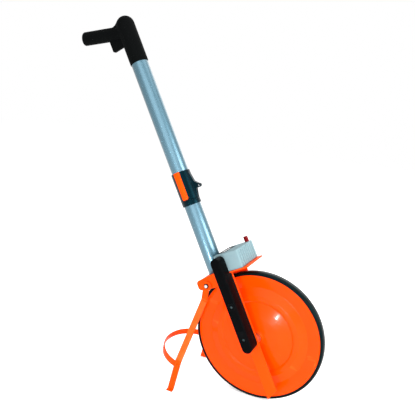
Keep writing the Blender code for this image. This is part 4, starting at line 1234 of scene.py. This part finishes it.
def make_catch():
    catch = block("latch_catch", (0.009, 0.0022, 0.013), at((pole_axis_x, -0.0203, button_foot)))
    soften(catch, 0.0004, 2)
    settle(catch, body="latch", slot="button_plastic")


make_button()
make_catch()
print("latch button done")

# %% [markdown]
# The handle is moulded in two half shells. Its dome and its grip flow into each other, which plain
# shapes joined together don't do: here a fillet block is added where they meet, the whole is fused
# into one skin, and that skin is smoothed. It is then split down the middle, so the parting line
# is real.

# %% The handle's half shells
handle_foot = 0.720
dome_rise = 0.8190
handle_radius = 0.0228
grip_tilt = math.radians(18.9)
grip_axis_rise = 0.8012
grip_length = 0.1330
grip_half = 0.01695
grip_flatten = 0.76
grip_corner = 0.005
handle_wall = 0.0035
handle_voxel = 0.0011
handle_ease_rounds = 8
fillet_half = 0.008
fillet_points = (
    (-0.0040, 0.8400), (-0.0085, 0.8395), (-0.0150, 0.8365), (-0.0205, 0.8325),
    (-0.0262, 0.8298), (-0.0380, 0.8285), (-0.0380, 0.8200), (-0.0040, 0.8150))
lever_front = pole_axis_x - 0.0252
lever_rear = pole_axis_x - 0.0565
lever_half = 0.0045
slot_low = 0.7739
slot_high = 0.8125


def grip_shape(name, radius, length, corner):
    profile = [(0, length), *arc((radius - corner, length - corner), corner, 90, 0, 8),
               (radius, 0), (0, 0)]
    lie = at((pole_axis_x, 0, grip_axis_rise), Matrix.Rotation(-math.pi / 2 + grip_tilt, 4, "Y"))
    return turned(name, profile, lie @ Matrix.Diagonal((1, grip_flatten, 1, 1)), 72)


def dome_shape(name, radius, foot):
    profile = [(0, dome_rise + radius), *arc((0, dome_rise), radius, 88, 0, 14), (radius, foot),
               (0, foot)]
    return turned(name, profile, on_pole, 96)


def make_handle():
    whole = dome_shape("handle_form", handle_radius, handle_foot)
    fillet = [(pole_axis_x + x, z) for x, z in fillet_points]
    join(whole, grip_shape("grip", grip_half, grip_length, grip_corner),
         plate("wedge", rounded(fillet, 0.003, 3), fillet_half * 2))
    melt(whole, handle_voxel, handle_ease_rounds)
    slot_front = pole_axis_x - 0.0126
    slot_rear = lever_rear - 0.0012
    cut(whole,
        dome_shape("sleeve", pole_radius + gap, handle_foot - 0.004),
        grip_shape("grip_hollow", grip_half - handle_wall, grip_length - handle_wall, 0.0035),
        block("slot", (slot_front - slot_rear, lever_half * 2 + gap * 2, slot_high - slot_low),
              at(((slot_front + slot_rear) / 2, 0, (slot_high + slot_low) / 2))),
        block("foot_trim", (0.12, 0.12, 0.02), at((pole_axis_x, 0, handle_foot - 0.01))))
    for name, side in sides:
        half = add_object("grip_shell_" + name, whole.data.copy())
        keep = block("keep", (0.4, 0.06, 0.4),
                     at((pole_axis_x, side * (0.03 + gap / 2), grip_axis_rise)))
        combine(half, "INTERSECT", [keep])
        settle(half, "handle_shell_" + name, finish="handle_plastic", sharp=45)
    bpy.data.objects.remove(whole, do_unlink=True)


make_handle()
print("handle done")

# %% [markdown]
# The brake lever under the grip is a stout finger piece, rounded on every edge that a finger
# meets.

# %% The brake lever
lever_top = 0.8055
lever_eye = 0.0045


def make_lever():
    pivot = joint_spot("trigger_squeeze")
    nose = arc((pole_axis_x, pivot.z - 0.004), 0.003, -90, 70, 10)
    outline = [
        (lever_rear, 0.7737, 0.004), (lever_front, 0.7742, 0.010),
        (pivot.x - lever_eye, pivot.z - lever_eye, 0.003), *kept(nose),
        *kept(arc((pivot.x, pivot.z), lever_eye, 60, 110, 6)),
        (lever_front, lever_top, 0.002), (lever_rear, lever_top, 0.003)]
    lever = plate("finger_lever", rounded(outline, 0.001, 6), lever_half * 2)
    soften(lever, 0.0018, 4)
    cut(lever, bore("bore", 0.0013, 0.04, pivot, 32))
    settle(lever, "brake_trigger", finish="handle_plastic")


make_lever()
print("lever done")

# %% [markdown]
# The stand hangs from a bolt through the fork's ears: two bent legs with outturned feet, and a
# hoop that joins them. Its own frame has Z up the leg, so the bends are easy to write. Bends in
# strip have a radius, which the rounded route gives. The soles are level with the floor.

# %% The stand
stand_angle = math.radians(231.2)
leg_turn = -(math.pi / 2 + stand_angle)
stand_matrix = at(stand_pivot, Matrix.Rotation(leg_turn, 4, "Y"))
leg_width = 0.0155
leg_eye = 0.0122
leg_knee_shift = 0.0045
leg_straight = 0.036
leg_bend_at = 0.190
leg_spread = 0.0925
leg_bend = 0.03
hoop_at = 0.2015
hoop_width = 0.015
hoop_height = 0.0765
hoop_thickness = 0.0025
hoop_steps = 72
rivet_radius = 0.002
rivet_head = 0.0035
level = lean - leg_turn
foot_drop = joints["stand_fold"]["pos_m"][2] / math.cos(level)


def knee_shift(drop):
    """The strip leans a little forward at its upper bend, and is back in line at the lower."""
    if drop < leg_straight:
        return leg_knee_shift * max(drop, 0) / leg_straight
    return leg_knee_shift * max(leg_bend_at - drop, 0) / (leg_bend_at - leg_straight)


def make_legs():
    face = fork_half_gap + sheet + gap + sheet / 2
    spread = leg_spread + sheet / 2
    sole = -foot_drop + sheet / 2
    for name, side in sides:
        route = [(side * face, 0), (side * face, -leg_straight, leg_bend),
                 (side * spread, -leg_bend_at, leg_bend), (side * spread, sole, 0.003),
                 (side * (spread + 0.006 + sheet / 2), sole)]
        leg = strip("leg_bar_" + name, rounded(route, 0.01, 8, closed=False), leg_width, sheet)
        for vertex in leg.data.vertices:
            vertex.co.x += knee_shift(-vertex.co.z)
            if vertex.co.z < sheet * 2 - foot_drop:
                vertex.co.z -= vertex.co.x * math.tan(level)
        join(leg, bore("eye", leg_eye, sheet, (0, side * face, 0), 64))
        cut(leg, bore("bolt_hole", bolt_radius + gap, sheet * 3, (0, side * face, 0)),
            bore("rivet_hole", rivet_radius + gap, sheet * 3, (0, side * spread, -hoop_at), 32))
        soften(leg, 0.0006)
        leg.data.transform(stand_matrix)
        settle(leg, "stand_leg_" + name)


def make_hoop():
    half = leg_spread - gap - hoop_thickness / 2
    turns = [math.pi * i / hoop_steps for i in range(hoop_steps + 1)]
    route = [(-half * math.cos(turn), hoop_height * math.sin(turn)) for turn in turns]
    hoop = strip("hoop_bar", route, hoop_width, hoop_thickness)
    cut(hoop, *[bore("rivet_hole", rivet_radius + gap, 0.015, (0, side * half, 0), 32)
                for _, side in sides])
    soften(hoop, 0.0005, 2)
    hoop.data.transform(stand_matrix @ at((0, 0, -hoop_at), Matrix.Rotation(-math.pi / 2, 4, "Y")))
    settle(hoop, "stand_hoop")


def make_rivets():
    inner = leg_spread - gap * 2 - hoop_thickness
    outer = leg_spread + sheet + gap
    section = [(0, outer + 0.0012), (rivet_head, outer + 0.0010, 0.0012), (rivet_head, outer),
               (rivet_radius, outer), (rivet_radius, inner), (rivet_head, inner),
               (rivet_head, inner - 0.0010, 0.0012), (0, inner - 0.0012)]
    for name, side in sides:
        place = stand_matrix @ at((0, 0, -hoop_at), across if side > 0 else upright)
        settle(lathe("rivet_" + name, section, 0.0001, 4, place, 32), "hoop_rivet_" + name)


make_legs()
make_hoop()
make_rivets()
print("stand done")

# %% [markdown]
# The bright metal comes last: the stand's bolt in its dark washer, the two nuts with chamfered
# corners, the bearings, the axle's end, the hinge pin and the handle's screws. Small as they are,
# they catch the light.

# %% Bolt, nuts, washers and bearings
bolt_head = 0.0042
washer_radius = 0.0062
axle_radius = 0.006
nut_chamfer = 0.47
bearing_bore = 0.0063
groove_half = 0.001
groove_depth = 0.0005


def make_bolt():
    washer_near = fork_half_gap + sheet * 2 + gap * 2
    washer_end = washer_near + 0.001
    ring = [(washer_radius, washer_end), (washer_radius, washer_near), (0.0033, washer_near),
            (0.0033, washer_end)]
    for name, side in sides:
        place = at(stand_pivot, across if side > 0 else upright)
        washer = lathe("dark_washer_" + name, ring, 0.0003, 3, place, 48)
        settle(washer, "stand_washer_" + name)
    seat = washer_end + gap
    low, high = span("stand_bolt")
    top = -low.y
    bolt = lathe("pivot_bolt", [
        (0, top), (0.0034, top, 0.0015), (bolt_head, seat + 0.0012, 0.0008), (bolt_head, seat),
        (bolt_radius, seat), (bolt_radius, -high.y), (0, -high.y)], 0.0003, 4, no_turn, 48)
    cut(bolt, rod("socket", 0.0019, 0.003, at((0, 0, top)), 6))
    bolt.data.transform(at(stand_pivot, upright))
    settle(bolt, "stand_bolt")


def make_nut(name, node, flats, bore_radius):
    low, high = span(node)
    height = high.y - low.y
    corner = flats / math.sqrt(3)
    chamfer, half, shoulder = flats * nut_chamfer, height / 2, height * 0.30
    nut = rod(name, corner, height, no_turn, 6)
    form = lathe("chamfer", [
        (0, half), (chamfer, half), (corner, shoulder), (corner, -shoulder), (chamfer, -half),
        (0, -half)], 0.0003, 3, no_turn, 64)
    combine(nut, "INTERSECT", [form])
    cut(nut, rod("bore", bore_radius, height * 2, no_turn, 40))
    nut.data.transform(at((low + high) / 2, across))
    settle(nut, node)


def make_bearings():
    middle = (bearing_bore + bearing_radius) / 2
    outer, inner = middle + groove_half, middle - groove_half
    for name, _ in sides:
        low, high = span("bearing_" + name)
        h = (high.y - low.y) / 2
        floor = h - groove_depth
        ring = lathe("ball_race_" + name, [
            (bearing_radius, h), (bearing_radius, -h), (outer, -h), (outer, -floor),
            (inner, -floor), (inner, -h), (bearing_bore, -h), (bearing_bore, h), (inner, h),
            (inner, floor), (outer, floor), (outer, h)],
            0.0002, 2, at((0, (low.y + high.y) / 2, 0), across), 64)
        settle(ring, "bearing_" + name)


def make_axle():
    low, high = span("axle")
    step = -(fork_half_gap + sheet * 2)
    axle = lathe("wheel_axle", [
        (0, high.y), (axle_radius, high.y, 0.0010), (axle_radius, step, 0.0004), (0.004, step),
        (0.004, low.y, 0.0006), (0, low.y)], 0.0002, 3, across, 64)
    settle(axle, "axle")


def make_pin():
    section = [(0, ear_half), (pin_radius, ear_half, 0.0006), (pin_radius, -ear_half, 0.0006),
               (0, -ear_half)]
    settle(lathe("knuckle_pin", section, 0.0002, 4, at(knuckle, across), 32), "hinge_pin")


make_bolt()
make_nut("axle_end_nut", "axle_nut", 0.013, bearing_bore)
make_nut("stand_end_nut", "stand_nut", 0.010, bolt_radius + gap)
make_bearings()
make_axle()
make_pin()
for number in (1, 2):
    head_low, head_high = span(f"handle_screw_{number}")
    head_middle = (head_low + head_high) / 2
    screw(f"shell_screw_{number}", f"handle_screw_{number}",
          at((head_middle.x, head_high.y - 0.0016, head_middle.z), across),
          head_high.y - head_low.y - 0.0020)
print("metal pieces done")
